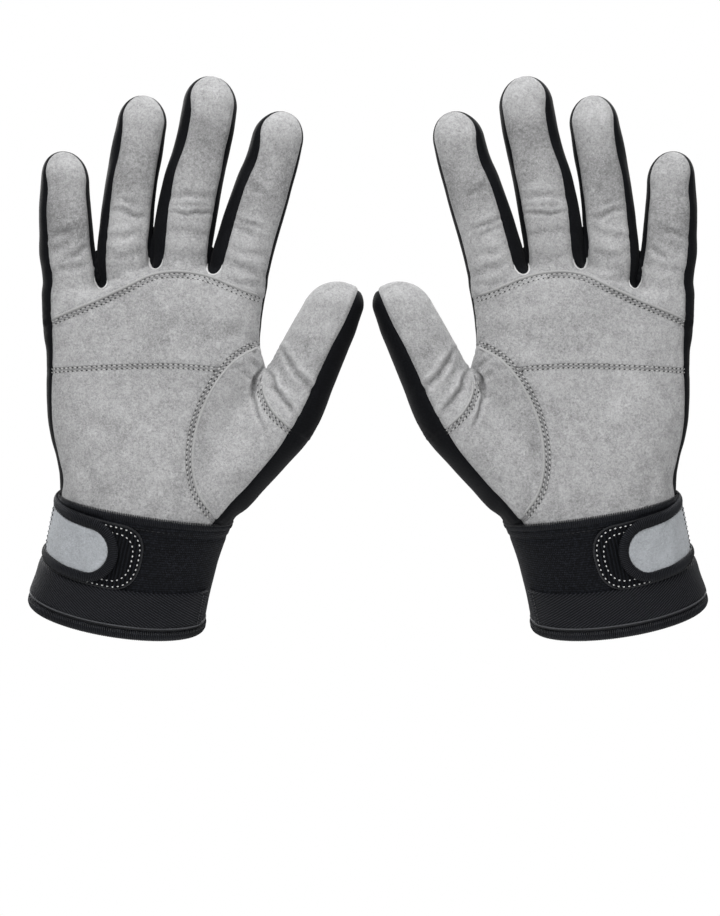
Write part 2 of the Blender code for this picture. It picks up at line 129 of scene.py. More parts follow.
# The thumb's (v, middle u, half width), and its half depth and how far forward it lies, by v.
THUMB_ROWS = [
    (-4, 20.5, 11.5), (8, 27.0, 12.5), (20, 34.5, 13.0), (30, 40.6, 13.6), (40, 46.0, 15.2),
    (50, 50.2, 15.4), (60, 53.4, 14.7), (70, 56.2, 14.0), (80, 59.1, 13.4), (90, 61.9, 12.7),
    (97, 63.9, 12.0), (110, 66.5, 11.6),
]
THUMB_DEPTHS = [(-4, 12.0), (8, 14.5), (25, 17.0), (45, 16.0), (60, 13.8), (80, 12.2), (97, 11.0)]
THUMB_FORWARD = [(-4, 4.0), (20, 3.5), (60, 1.5), (90, 0.0)]
THUMB_DOME, THUMB_RISE = 97.0, 11.8

# The palm: its two edges (v, u), its half depth to the front and back (v, w), and the line (u, v)
# where the fingers leave it.
LITTLE_EDGE = [
    (-20, -37.4), (0, -37.2), (8, -37.0), (13.5, -39.3), (25, -44.4), (32, -46.6), (44, -49.2),
    (62, -52.6), (75, -55.6), (89, -58.9), (100, -60.0),
]
INDEX_EDGE = [
    (-20, 34.0), (0, 34.4), (20, 35.0), (50, 36.8), (62, 39.8), (66.5, 40.6), (69.5, 39.2),
    (72.5, 37.2), (77, 35.9), (85, 34.6), (95, 33.6), (105, 34.2),
]
PALM_FRONT = [(-20, 23.2), (5, 23.0), (25, 21.5), (45, 19.0), (70, 16.5), (90, 13.6), (110, 11.0)]
PALM_BACK = [(-20, 22.6), (8, 18.6), (20, 16.2), (60, 15.8), (90, 14.8), (110, 11.5)]
WEB_LINE = [
    (-62, 86.0), (-40, 87.5), (-33.8, 88.2), (-27, 95.0), (-13.7, 100.6), (-2, 103.0),
    (10.7, 104.6), (24, 105.0), (36, 104.0),
]
# How square the palm's section is, where 2 is a plain oval.
PALM_SQUARE = 2.35

# Small gussets between the finger feet: (u, v, half width, half height, merge).
GUSSETS = ((-14.7, 106, 2.2, 13.0, 1.2), (-38.0, 94, 1.8, 7.5, 1.0))

# The cuff: its middle u at the wrist, how far that drifts per millimetre of height, its half
# width and half depth, the height of its lower end, how thick its cloth is, and its mean radius.
CUFF_MIDDLE, CUFF_SHIFT, CUFF_WIDE, CUFF_DEEP = -3.0, 0.068, 36.6, 23.4
HEM_HEIGHT = -43.8
CUFF_THICK = 0.55
CUFF_RADIUS = 30.0


def track(table, at):
    """A smooth curve through (position, value) rows: the table averaged over a few millimetres."""
    xs = np.array([row[0] for row in table], float)
    ys = np.array([row[1] for row in table], float)
    return sum(np.interp(at + shift, xs, ys) for shift in (-3.2, -1.6, 0.0, 1.6, 3.2)) / 5


def step01(x, low, high):
    """0 below low, 1 above high, and smooth between; low may be the larger one."""
    share = np.clip((x - low) / (high - low), 0, 1)
    return share * share * (3 - 2 * share)


def bump(x, middle, width):
    """A smooth hill of height 1."""
    return np.exp(-(((x - middle) / width) ** 2))


def soft_min(a, b, k):
    """The smaller of two distances, with the crease between them filled over k millimetres."""
    share = np.clip(0.5 + 0.5 * (b - a) / k, 0, 1)
    return b + (a - b) * share - k * share * (1 - share)


def middle_of(rows, at):
    """The u of a limb's middle line."""
    return track([(row[0], row[1]) for row in rows], at)


def half_of(rows, at):
    """A limb's half width."""
    return track([(row[0], row[2]) for row in rows], at)


def oval_distance(shares, sizes):
    """Distance to an oval of these half sizes, from where a point lies as shares of them."""
    reach = np.sqrt(sum(share * share for share in shares))
    slope = np.sqrt(sum((share / size) ** 2 for share, size in zip(shares, sizes)))
    return reach * (reach - 1) / np.maximum(slope, 1e-6)


def limb(u, v, w, rows, depth, forward, dome, rise):
    """Distance to a finger or the thumb."""
    at = np.clip(v, rows[0][0], dome)
    half = half_of(rows, at)
    lean = (middle_of(rows, at + 4) - middle_of(rows, at - 4)) / 8
    deep = depth(at, half)
    x = (u - middle_of(rows, np.minimum(v, rows[-1][0]))) / np.sqrt(1 + lean**2) / half
    y = (w - forward(at)) / deep
    z = np.maximum(v - dome, 0) / rise + np.minimum(v - rows[0][0], 0) / half
    return oval_distance((x, y, z), (half, deep, rise))


def finger_args(name):
    form = FINGER_FORM[name]
    return form["rows"], lambda at, half: half * FINGER_THICK, lambda at: 0.0, form["dome"], form["rise"]


def thumb_args():
    def depth(at, half):
        return track(THUMB_DEPTHS, at)

    def forward(at):
        return track(THUMB_FORWARD, at)

    return THUMB_ROWS, depth, forward, THUMB_DOME, THUMB_RISE


def palm_form(u, v, w):
    """Distance to the palm without its fingers: a squared oval, cut off along the web line."""
    low, high = track(LITTLE_EDGE, v), track(INDEX_EDGE, v)
    middle, half = (low + high) / 2, (high - low) / 2
    front = track(PALM_FRONT, v)
    front = front + 1.6 * bump(u, -30, 14) * bump(v, 28, 22) - 1.6 * bump(u, -4, 16) * bump(v, 44, 22)
    front = front + 0.8 * bump(v, 88, 9) * bump(u, -10, 40)
    deep = np.where(w > 0, front, track(PALM_BACK, v))
    x = np.abs(u - middle) / half
    y = np.abs(w) / deep
    n = PALM_SQUARE
    form = (x**n + y**n + 1e-9) ** (1 / n)
    slope = form ** (1 - n) * np.sqrt((x ** (n - 1) / half) ** 2 + (y ** (n - 1) / deep) ** 2)
    body = (form - 1) / np.maximum(slope, 1e-3)
    body = np.clip(body, -14, 60)
    top = v - track(WEB_LINE, u) + 0.012 * w * w
    return -soft_min(-body, -top, 5.0)


def cuff_reach(height, thumb_side):
    """The cuff's half width: drawn in under the strap, and opening towards the thumb."""
    thumb_reach = CUFF_WIDE + 2.0 * step01(height, -20, 3)
    little_reach = CUFF_WIDE - 1.3 * step01(height, -46, -30) - 2.5 * step01(height, -32, -20)
    return np.where(thumb_side, thumb_reach, little_reach)


def cuff_form(u, v, w):
    """Distance to the cuff, taken as endless."""
    height, depth = cuff_frame(u, v, w)
    middle = CUFF_MIDDLE + CUFF_SHIFT * height
    wide = cuff_reach(height, u > middle)
    return oval_distance(((u - middle) / wide, depth / CUFF_DEEP), (wide, CUFF_DEEP))


def wrist_height(v, w):
    """Height above the mitre plane, where the cuff is sewn to the hand."""
    return (v + w * MITRE) / math.sqrt(1 + MITRE**2)


def hand_form(u, v, w):
    """Signed distance, roughly, to the glove's skin."""
    web = 7.0 - 4.8 * step01(v, 56, 67)
    hand = soft_min(palm_form(u, v, w), limb(u, v, w, *thumb_args()), web)
    row = limb(u, v, w, *finger_args(FINGERS[0]))
    for name in FINGERS[1:]:
        row = soft_min(row, limb(u, v, w, *finger_args(name)), 0.5)
    for middle_u, middle_v, wide, tall, merge in GUSSETS:
        x, y, z = (u - middle_u) / wide, (v - middle_v) / tall, (w + 2.5) / 5.0
        row = soft_min(row, (np.sqrt(x**2 + y**2 + z**2) - 1) * wide, merge)
    hand = soft_min(hand, row, 2.6)
    rise = step01(wrist_height(v, w), -5.0, 9.0)
    return cuff_form(u, v, w) * (1 - rise) + hand * rise


# ------------------------------------------------------------------ meshing


def surface_nets(field, low, high, step):
    """Points and triangles on the field's zero surface."""
    axes = [np.arange(low[i], high[i], step) for i in range(3)]
    value = field(*np.meshgrid(*axes, indexing="ij"))
    inside = value < 0
    shape = tuple(n - 1 for n in value.shape)
    hits = np.zeros(shape)
    place_sum = np.zeros(shape + (3,))
    for axis in range(3):
        others = [i for i in range(3) if i != axis]
        for a in (0, 1):
            for b in (0, 1):
                first = [slice(0, n) for n in shape]
                first[others[0]] = slice(a, a + shape[others[0]])
                first[others[1]] = slice(b, b + shape[others[1]])
                second = list(first)
                second[axis] = slice(1, 1 + shape[axis])
                v0, v1 = value[tuple(first)], value[tuple(second)]
                crossed = inside[tuple(first)] != inside[tuple(second)]
                share = np.where(crossed, v0 / np.where(crossed, v0 - v1, 1), 0)
                hits += crossed
                place_sum[..., axis] += share * crossed
                place_sum[..., others[0]] += a * crossed
                place_sum[..., others[1]] += b * crossed
    active = hits > 0
    number = np.full(shape, -1)
    number[active] = np.arange(active.sum())
    where = np.argwhere(active)
    points = (where + place_sum[active] / hits[active][:, None]) * step + np.array(low)
    quads = []
    for axis in range(3):
        j, k = (axis + 1) % 3, (axis + 2) % 3
        near = [slice(1, n) for n in shape]
        near[axis] = slice(0, shape[axis])
        far = list(near)
        far[axis] = slice(1, shape[axis] + 1)
        a, b = inside[tuple(near)], inside[tuple(far)]
        spots = np.argwhere(a != b)
        offset = [1, 1, 1]
        offset[axis] = 0
        base = spots + offset
        ring = []
        for dj, dk in ((1, 1), (0, 1), (0, 0), (1, 0)):
            cell = base.copy()
            cell[:, j] -= dj
            cell[:, k] -= dk
            ring.append(number[cell[:, 0], cell[:, 1], cell[:, 2]])
        ring = np.stack(ring, 1)
        outward = a[tuple(spots.T)]
        ring[~outward] = ring[~outward][:, ::-1]
        quads.append(ring)
    quads = np.concatenate(quads)
    quads = quads[(quads >= 0).all(1)]
    p = points[quads]
    short = np.linalg.norm(p[:, 0] - p[:, 2], axis=1) < np.linalg.norm(p[:, 1] - p[:, 3], axis=1)
    one = np.where(short[:, None], quads[:, [0, 1, 2]], quads[:, [0, 1, 3]])
    two = np.where(short[:, None], quads[:, [0, 2, 3]], quads[:, [1, 2, 3]])
    return points, np.concatenate([one, two])


def gradient(field, p, reach=0.25):
    """The field's slope at each point."""
    parts = []
    for i in range(3):
        offset = np.zeros(3)
        offset[i] = reach
        ahead, behind = p + offset, p - offset
        parts.append((field(*ahead.T) - field(*behind.T)) / (2 * reach))
    return np.stack(parts, 1)


def to_surface(p, rounds=2):
    """Moves points onto the glove's skin."""
    for _ in range(rounds):
        slope = gradient(hand_form, p)
        size = np.maximum((slope**2).sum(1), 0.05)
        p = p - slope * np.clip(hand_form(*p.T) / size, -1.5, 1.5)[:, None]
    return p


def relax(p, tris, rounds):
    """Evens out the mesh along the surface."""
    pairs = np.concatenate([tris[:, [0, 1]], tris[:, [1, 2]], tris[:, [2, 0]]])
    pairs = np.concatenate([pairs, pairs[:, ::-1]])
    count = np.bincount(pairs[:, 0], minlength=len(p))[:, None]
    for _ in range(rounds):
        total = np.stack([np.bincount(pairs[:, 0], p[pairs[:, 1], i], len(p)) for i in range(3)], 1)
        p = to_surface(p + (total / count - p) * 0.6, 1)
    return p


def unit(a):
    return a / np.maximum(np.linalg.norm(a, axis=-1, keepdims=True), 1e-9)


def normals_of(p, tris):
    face = np.cross(p[tris[:, 1]] - p[tris[:, 0]], p[tris[:, 2]] - p[tris[:, 0]])
    axes = [sum(np.bincount(tris[:, k], face[:, i], len(p)) for k in range(3)) for i in range(3)]
    return unit(np.stack(axes, 1))


class Skin:
    """The glove's surface, cut by seam fields; sides holds which side of each cut a triangle is on."""

    def __init__(self, p, tris):
        self.p, self.tris, self.sides = p, tris, {}

    def cut(self, name, field, region=None, snap=0.38):
        """Cuts the skin where the field is 0, after moving the vertices near it onto the line."""
        value = field(*self.p.T)
        slope = gradient(field, self.p, 0.4)
        steep = np.linalg.norm(slope, axis=1)
        used = np.ones(len(self.p), bool) if region is None else region(*self.p.T)
        close = used & (np.abs(value) < snap * np.maximum(steep, 0.3)) & (steep > 0.15)
        normal = normals_of(self.p, self.tris)
        tangent = slope - normal * (slope * normal).sum(1)[:, None]
        size = np.maximum((tangent**2).sum(1), 0.04)
        shift = -tangent * (value / size)[:, None]
        length = np.linalg.norm(shift, axis=1)
        close &= length < 2.2 * snap
        self.p = self.p.copy()
        self.p[close] = to_surface(self.p[close] + shift[close], 1)
        value = value.copy()
        value[close] = 0
        value[~used] = np.where(value[~used] == 0, 1.0, value[~used])
        value = self.split(value, used)
        self.sides[name] = value[self.tris].sum(1) > 0

    def split(self, value, used):
        """Splits the triangles that the value's 0 line crosses; returns the value at every vertex."""
        tris, sides = self.tris, self.sides
        ends = np.sort(np.concatenate([tris[:, [0, 1]], tris[:, [1, 2]], tris[:, [2, 0]]]), axis=1)
        code = ends[:, 0].astype(np.int64) * len(self.p) + ends[:, 1]
        unique, back = np.unique(code, return_inverse=True)
        a, b = unique // len(self.p), unique % len(self.p)
        crossed = (value[a] * value[b] < 0) & used[a] & used[b]
        share = value[a][crossed] / (value[a][crossed] - value[b][crossed])
        fresh = self.p[a[crossed]] + (self.p[b[crossed]] - self.p[a[crossed]]) * share[:, None]
        if len(fresh):
            fresh = to_surface(fresh, 1)
        number = np.full(len(unique), -1)
        number[crossed] = len(self.p) + np.arange(crossed.sum())
        mids = number[back].reshape(3, len(tris)).T
        count = (mids >= 0).sum(1)
        keep = count == 0
        parts, owners = [tris[keep]], [np.flatnonzero(keep)]
        for turn in range(3):
            t = np.roll(tris, -turn, axis=1)
            m = np.roll(mids, -turn, axis=1)
            one = (count == 1) & (m[:, 1] >= 0)
            two = (count == 2) & (m[:, 0] >= 0) & (m[:, 2] >= 0)
            parts.append(np.stack([t[one, 0], t[one, 1], m[one, 1]], 1))
            parts.append(np.stack([t[one, 0], m[one, 1], t[one, 2]], 1))
            owners += [np.flatnonzero(one)] * 2
            parts.append(np.stack([t[two, 0], m[two, 0], m[two, 2]], 1))
            parts.append(np.stack([m[two, 0], t[two, 1], t[two, 2]], 1))
            parts.append(np.stack([m[two, 0], t[two, 2], m[two, 2]], 1))
            owners += [np.flatnonzero(two)] * 3
        owner = np.concatenate(owners)
        self.tris = np.concatenate(parts)
        self.sides = {key: bits[owner] for key, bits in sides.items()}
        self.p = np.concatenate([self.p, fresh])
        return np.concatenate([value, np.zeros(len(fresh))])


# ------------------------------------------------------------------ seams

# Lines on the front of the hand, as (u, v) rows for the two that cross it and (v, u) rows for the
# thumb root's seam and for the suede's edge on the thumb.
FINGER_SEAM = [
    (-62, 62.0), (-51.3, 70.7), (-42.5, 76.0), (-34, 81.0), (-26.8, 85.8), (-19.8, 90.6),
    (-14.4, 95.0), (-10.9, 97.2), (-5.7, 98.8), (2, 99.9), (9.7, 99.8), (17.8, 98.1), (26, 95.9),
    (33, 95.2), (40, 94.5),
]
PALM_SEAM = [
    (-60, 50.0), (-48.2, 51.6), (-36.7, 54.0), (-24.4, 56.6), (-12, 59.2), (0.3, 61.5),
    (12.8, 62.8), (21, 63.4), (30, 64.5),
]
THENAR_SEAM = [
    (-8, 38.5), (-2, 33.4), (1.9, 29.0), (6, 24.2), (10.9, 19.9), (18.7, 16.7), (26.8, 15.0),
    (35.1, 14.6), (42.9, 15.2), (50.2, 16.8), (58.3, 19.5), (65.2, 22.9), (72.3, 28.2),
    (77.6, 35.5), (84, 45),
]
THUMB_BLACK = [
    (-12, 24.0), (-0.2, 29.8), (6.3, 33.0), (13.6, 38.6), (20.8, 43.4), (27.9, 47.7), (35, 51.7),
    (41.8, 54.4), (48.6, 57.1), (55.4, 59.4), (62.1, 61.2), (68.7, 62.7), (75.4, 64.6),
    (82.1, 66.4), (88.9, 69.1), (95.6, 71.0), (103, 72.6), (112, 74.0),
]
# The suede's edge on the thumb side of the palm: the thumb's own as far as its mouth, and far
# outside the hand above it.
THUMB_SIDE = [(-12, 24.0), *THUMB_BLACK[1:9], (56, 80.0), (110, 80.0)]
# The seam at the thumb's mouth, as (across the thumb, along it).
THUMB_SEAM = [
    (-16, 81.0), (-11, 77.5), (-6.5, 70.5), (-0.8, 67.6), (5.5, 66.2), (11.5, 66.5), (16.8, 67.3),
    (26, 69.5), (40, 72.0),
]
# Where the suede begins: millimetres in from the palm's little-finger edge, and the depth w on its
# index side, both by v.
LITTLE_SEAM = [(-12, 1.2), (15, 1.8), (50, 3.0), (75, 3.9), (95, 4.4)]
INDEX_SUEDE = [(-20, -3.0), (67, -3.0), (72, -1.0), (78, 2.6), (88, 2.8), (100, 2.8), (110, 3.2)]
# Feet of the gaps between fingers: (u, v, half width, lean); each ends in a half round.
GAPS = ((-32.8, 89.1, 2.45, -0.26), (-12.2, 100.9, 2.8, -0.06), (12.0, 102.4, 2.95, 0.06))
FOOT_ROUND = 0.75
# The thumb's direction as (u, v), where its tip's panels begin along it, and where it bends.
THUMB_AHEAD = (math.sin(math.radians(38)), math.cos(math.radians(38)))
THUMB_SPLIT = 91.0
THUMB_ZONES = ((76.5, 90.5), (91.5, 106.0))


def slant(u, v):
    """Along the thumb and across it."""
    return u * THUMB_AHEAD[0] + v * THUMB_AHEAD[1], u * THUMB_AHEAD[1] - v * THUMB_AHEAD[0]


def from_slant(ahead, across):
    """The u and v of a point along the thumb and across it."""
    s, c = THUMB_AHEAD
    return ahead * s + across * c, ahead * c - across * s


def thumb_cut(u, v, w):
    ahead, across = slant(u, v)
    return ahead - track(THUMB_SEAM, across)


def thumb_split(u, v, w):
    return slant(u, v)[0] - THUMB_SPLIT


def on_thumb(u, v):
    """Whether a point is in the thumb's part of the hand."""
    return (slant(u, v)[0] > 60) & (u > 36.6 + 0.05 * (v - 60)) & (v > 44)


def nearest_finger(u, v):
    """Number of the finger whose line is nearest."""
    gaps = [np.abs(u - middle_of(FINGER_FORM[name]["rows"], v)) for name in FINGERS]
    return np.argmin(np.stack(gaps), 0)


def finger_cut(which):
    """The field that cuts all four fingers, at their bases (0) or at their middles (1)."""

    def field(u, v, w):
        levels = np.array([FINGER_FORM[name]["cuts"][which] for name in FINGERS])
        return v - levels[nearest_finger(u, v)]

    return field


def cloth_edge(u, v):
    """How far forward of the middle plane the suede begins, across the four fingers."""
    knots = []
    for name in FINGERS:
        form = FINGER_FORM[name]
        middle = middle_of(form["rows"], v)
        half = half_of(form["rows"], np.minimum(v, form["dome"]))
        deep = half * FINGER_THICK
        tip = 1 - 0.76 * np.clip(((v - form["dome"]) / form["rise"] + 0.5) / 1.5, 0, 1) ** 2
        base = step01(v, form["folds"][1], form["folds"][0] - 8)
        little_side, thumb_side = form["cloth"]
        knots.append((middle - half, deep * (little_side + 0.04 * base) * tip))
        knots.append((middle + half, deep * thumb_side * tip))
    edge = knots[0][1]
    for (a, x), (b, y) in zip(knots, knots[1:]):
        share = np.clip((u - a) / np.maximum(b - a, 0.5), 0, 1)
        edge = np.where(u > a, x + (y - x) * share, edge)
    return edge


def gap_foot(u, v, gap):
    """Distance outside the rounded foot of a gap between two fingers."""
    foot_u, foot_v, half, lean = gap
    across = u - foot_u - lean * (v - foot_v)
    return np.hypot(across, FOOT_ROUND * np.minimum(v - foot_v - half / FOOT_ROUND, 0)) - half


def suede(u, v, w):
    """Positive where the skin is suede and negative where it is black cloth, in millimetres."""
    left = u - track(LITTLE_EDGE, v) - track(LITTLE_SEAM, v)
    right = track(THUMB_SIDE, v) - u
    index_side = (w - track(INDEX_SUEDE, v) * step01(u, 26, 34)) * 1.5
    palm = np.minimum(np.minimum(left, right), index_side)
    finger = w - cloth_edge(u, v)
    share = step01(v - track(WEB_LINE, u), -6.0, 3.0)
    hand = palm * (1 - share) + finger * share
    for gap in GAPS:
        foot_u, foot_v, _, lean = gap
        beside = np.abs(u - foot_u - lean * (v - foot_v)) < 7
        near = beside & (np.abs(v - foot_v - 2) < 10) & (w > 1.5)
        rise = step01(v - foot_v, 1.0, 11.0)
        low = np.minimum(palm, gap_foot(u, v, gap))
        hand = np.where(near, low * (1 - rise) + finger * rise, hand)
    thumb = soft_min(track(THUMB_BLACK, v) - u, w + 3.0 + 0.25 * np.maximum(v - 98, 0), 2.5)
    return np.where(on_thumb(u, v), thumb, hand)


def off_seam(table, along, across):
    """Distance from a seam whose rows are (along, across)."""
    slope = (track(table, along + 1.5) - track(table, along - 1.5)) / 3
    return (across - track(table, along)) / np.sqrt(1 + slope**2)


def finger_seam(u, v, w):
    return off_seam(FINGER_SEAM, u, v)


def palm_seam(u, v, w):
    return off_seam(PALM_SEAM, u, v)


def thenar_seam(u, v, w):
    return off_seam(THENAR_SEAM, v, u)


def cuff_cut(u, v, w):
    return wrist_height(v, w)


def hem_cut(u, v, w):
    return cuff_frame(u, v, w)[0] - HEM_HEIGHT


# ------------------------------------------------------------------ relief

# Large odd numbers that scramble a grid cell's position into a height.
HASH_AXES = np.array([374761393, 668265263, 2147483647])
HASH_SEED, HASH_MIX, HASH_BITS = 974711, 1274126177, 0xFFFFFFFF
NO_SEAM = 50.0


def value_noise(p, scale, seed):
    """Smooth noise from -1 to 1 with bumps about `scale` millimetres apart."""
    q = p / scale + seed * 17.3
    base = np.floor(q).astype(np.int64)
    f = q - base
    f = f * f * (3 - 2 * f)
    total = np.zeros(len(p))
    for corner in range(8):
        bits = np.array([corner & 1, corner >> 1 & 1, corner >> 2 & 1])
        cell = base + bits
        mixed = (cell @ HASH_AXES + seed * HASH_SEED) & HASH_BITS
        mixed = ((mixed ^ (mixed >> 13)) * HASH_MIX) & HASH_BITS
        height = ((mixed ^ (mixed >> 16)) & 0xFFFF) / 32767.5 - 1
        weight = np.prod(np.where(bits, f, 1 - f), axis=1)
        total += height * weight
    return total


def seam_map(p):
    """For each point, how far along the nearest palm seam it is, and how far from it."""
    u, v, w = p.T
    thumb = thumb_cut(u, v, w) > -0.2
    finger, cross, root = finger_seam(u, v, w), palm_seam(u, v, w), thenar_seam(u, v, w)
    across = slant(u, v)[1]
    mouth = (v > 36) & (w > 0) & (across > -9)
    fields = [
        (u * 1.05, finger, (u < 36) & ~thumb),
        (u, cross, (root < 0) & ~thumb),
        (v * 1.1, root, (finger < 3) & ~thumb & (v > -4)),
        (across, thumb_cut(u, v, w), mouth),
    ]
    along = np.zeros(len(p))
    off = np.full(len(p), NO_SEAM)
    for place_along, distance, there in fields:
        nearer = there & (np.abs(distance) < np.abs(off))
        along = np.where(nearer, place_along, along)
        off = np.where(nearer, distance, off)
    return np.stack([along, np.where(w > -2, np.abs(off), NO_SEAM)], 1)


def stroke(u, v, line, width, depth):
    """A single wrinkle drawn along a few points, deepest at its middle, with a swollen lip."""
    line = np.array(line, float)
    best = np.full(u.shape, 1e3)
    share, side = np.zeros(u.shape), np.zeros(u.shape)
    lengths = np.concatenate([[0], np.cumsum(np.hypot(*np.diff(line, axis=0).T))])
    for i, (a, b) in enumerate(zip(line, line[1:])):
        d = b - a
        t = np.clip(((u - a[0]) * d[0] + (v - a[1]) * d[1]) / (d @ d), 0, 1)
        x, y = u - a[0] - t * d[0], v - a[1] - t * d[1]
        away = np.hypot(x, y)
        near = away < best
        best = np.where(near, away, best)
        side = np.where(near, np.sign(d[0] * y - d[1] * x), side)
        share = np.where(near, (lengths[i] + t * (lengths[i + 1] - lengths[i])) / lengths[-1], share)
    taper = np.sin(np.pi * np.clip(share * 0.8 + 0.1, 0, 1))
    lip = 0.6 * bump(best * side, 1.9 * width, 1.2 * width) + 0.25 * bump(best * side, -2.0 * width, width)
    return depth * taper * (lip - bump(best, 0, width))


# Wrinkles as strokes of (u, v) points, each with its width and depth.
WRINKLES = [
    # little finger
    ([(-58, 106), (-52, 109.5), (-46, 112.5)], 1.6, 0.5),
    ([(-49, 98.5), (-45, 101.5), (-42, 105)], 1.2, 0.7), ([(-55, 92), (-48, 95), (-41, 98)], 1.6, 0.5),
    ([(-56, 101), (-50, 104)], 1.4, 0.4),
    # ring finger
    ([(-34, 122.5), (-30, 123), (-24, 121), (-19, 121.5)], 1.0, 0.75),
    ([(-34, 110.5), (-27, 112), (-21, 114.5)], 1.4, 0.5),
    ([(-32, 104.5), (-26, 103.8), (-17, 107)], 1.7, 0.45),
    ([(-28, 93.5), (-21, 94.5), (-16, 98.5)], 1.4, 0.55), ([(-31, 127), (-24, 126)], 1.3, 0.35),
    # middle finger
    ([(-10, 131.5), (-4, 132.8), (7, 133.8)], 1.4, 0.5),
    ([(-9, 125.4), (-1, 126), (9, 127.4)], 0.9, 0.9), ([(-8, 128.4), (0, 129), (8, 130)], 0.9, 0.5),
    ([(-10, 117.5), (-2, 118.3), (9, 117.4)], 1.6, 0.4), ([(-9, 108), (-1, 107), (7, 109)], 2.0, 0.4),
    # index finger
    ([(18, 127), (24, 125.3), (31, 124.2)], 1.0, 0.8), ([(18, 123.6), (24, 122), (30, 121)], 1.1, 0.6),
    ([(21, 143.5), (24.5, 140.5), (29, 138.6)], 1.6, 0.45),
    ([(17, 108.6), (24, 106.5), (33, 106)], 1.7, 0.5),
    ([(18, 102), (25, 100.5), (33, 100.8)], 1.3, 0.45), ([(17, 115), (24, 113.5), (32, 114)], 1.6, 0.4),
    # thumb
    ([(46, 76), (53, 67.5), (62, 61)], 1.1, 1.5),
    ([(41.5, 67), (46, 59.5), (51, 54.5), (56.5, 50)], 1.1, 1.6),
    ([(45, 69), (49, 63.5), (55, 58)], 1.8, 0.5), ([(52, 80), (58, 76)], 2.2, 0.4),
    # thumb's root
    ([(39, 66.5), (37.3, 62.8), (36.9, 56), (38.3, 51.6), (41.5, 46), (44.7, 41)], 0.9, 1.3),
    ([(39.6, 67.2), (37.4, 63.6), (36.7, 59.5), (36.8, 55)], 0.9, 1.3),
    ([(31.5, 69.5), (35, 68.9), (38.2, 67.6)], 1.1, 1.1), ([(30.5, 64.2), (36.5, 62.8)], 1.2, 1.0),
    ([(33, 75), (35.4, 71.7), (37.6, 69)], 1.2, 0.7), ([(26, 66), (32, 66.6), (37, 65.8)], 1.2, 0.8),
    # palm
    ([(-6, 75), (6, 79.5), (18, 81)], 2.6, 0.3), ([(8, 72), (18, 76.5), (30, 82)], 2.6, 0.35),
    ([(19, 52), (18, 40), (20, 28)], 3.2, 0.35), ([(-38, 36), (-20, 33), (-6, 30)], 3.5, 0.25),
]


def wrinkles(p):
    """All the strokes together, a little wavy, in millimetres."""
    u, v, _ = p.T
    u = u + 0.7 * value_noise(p, 5.0, 61)
    wavy_v = v + 0.9 * value_noise(p, 5.0, 62)
    total = sum(stroke(u, wavy_v, line, width, depth) for line, width, depth in WRINKLES)
    return total * (1 + 0.35 * step01(v, 86, 92))


# The u of each knuckle on the back of the hand.
KNUCKLES = (-45, -26, -3, 21)


def relief(p):
    """How far the cloth stands out from the plain form, in millimetres."""
    u, v, w = p.T
    out = 0.30 * value_noise(p, 17.0, 3) + 0.13 * value_noise(p, 6.5, 5)
    front = step01(w, 0.0, 5.0)
    thumb = on_thumb(u, v)
    fingers = ~thumb & (v > track(WEB_LINE, u) - 10)
    pucker = 1 + 0.4 * np.sin(u * 2.1) * np.sin(v * 1.9)

    # seams: turned edges between the stitch rows, and the upper panel's edge lying over the lower
    def seam(off, height=0.55):
        lap = step01(off, 0.9, 2.0) * np.exp(-np.maximum(off - 2.0, 0) / 5.0)
        sunk = 0.35 * bump(off, 0, 1.9)
        return (height * lap - sunk + 0.25 * bump(off, 0, 0.6)) * front * pucker

    below = ~thumb & (u < 35)
    out += np.where(below, seam(finger_seam(u, v, w)), 0)
    west = thenar_seam(u, v, w) < 0.5
    out += np.where(below & west, seam(palm_seam(u, v, w), 0.12), 0)
    low_thenar = (v > -2) & (v < 79) & (finger_seam(u, v, w) < 0)
    out += np.where(low_thenar, seam(thenar_seam(u, v, w)), 0)
    out += np.where((w > 1) & (v > 36) & (u > 30), seam(thumb_cut(u, v, w)), 0)
    edge = suede(u, v, w)
    out += -0.45 * bump(edge, 0, 0.7) + 0.25 * bump(edge, 1.6, 1.0)

    # wrinkles in the suede
    out += wrinkles(p) * np.where(thumb | (u > 34), step01(w, 0.5, 5.0), step01(w, 3.5, 8.0))

    # the fingers' pads and the folds on their backs
    which = nearest_finger(u, v)
    pad, back = step01(w, 2.0, 7.0), step01(-w, 1.0, 6.0)
    for i, name in enumerate(FINGERS):
        form = FINGER_FORM[name]
        mine = fingers & (which == i)
        fold, dome = form["folds"][1], form["dome"]
        far = fold + (dome + form["rise"] - fold) * 0.46
        shape = 0.7 * bump(v, (fold + far) / 2, 8) + 0.9 * bump(v, dome + 1, 9) - 0.5 * bump(v, far, 6)
        wave = np.sin((v - fold) * 1.15 + value_noise(p, 8.0, 30 + i) * 1.3)
        folds = wave * (0.3 * bump(v, fold, 8) + 0.18 * bump(v, far, 5)) + 0.5 * bump(v, fold, 9)
        out += np.where(mine, shape * pad + back * folds, 0)

    # drag lines towards the wrist and across the back, and the knuckles
    level = wrist_height(v, w)
    drag = np.sin(u * 0.62 + 1.2 * value_noise(p, 12.0, 47)) * step01(level, 1.0, 5.0)
    out += 0.5 * bump(v, 3, 9) * drag
    rear = step01(-w, 2.0, 8.0)
    out += rear * 0.55 * np.sin(v * 0.35 + 1.8 * value_noise(p, 20.0, 51)) * bump(v, 18, 16)
    knuckles = sum(bump(u, knuckle, 6.5) for knuckle in KNUCKLES)
    out += rear * 1.1 * knuckles * bump(v, 84 + 0.12 * u, 9)

    # the cuff is thick and smooth
    cuff = step01(-level, -0.6, 0.6)
    soft = CUFF_THICK + 0.3 * value_noise(p, 15.0, 53)
    soft += 0.25 * bump(level, -2.0, 1.4) - 0.35 * bump(level, -4.6, 0.6)
    return out * (1 - cuff) + soft * cuff


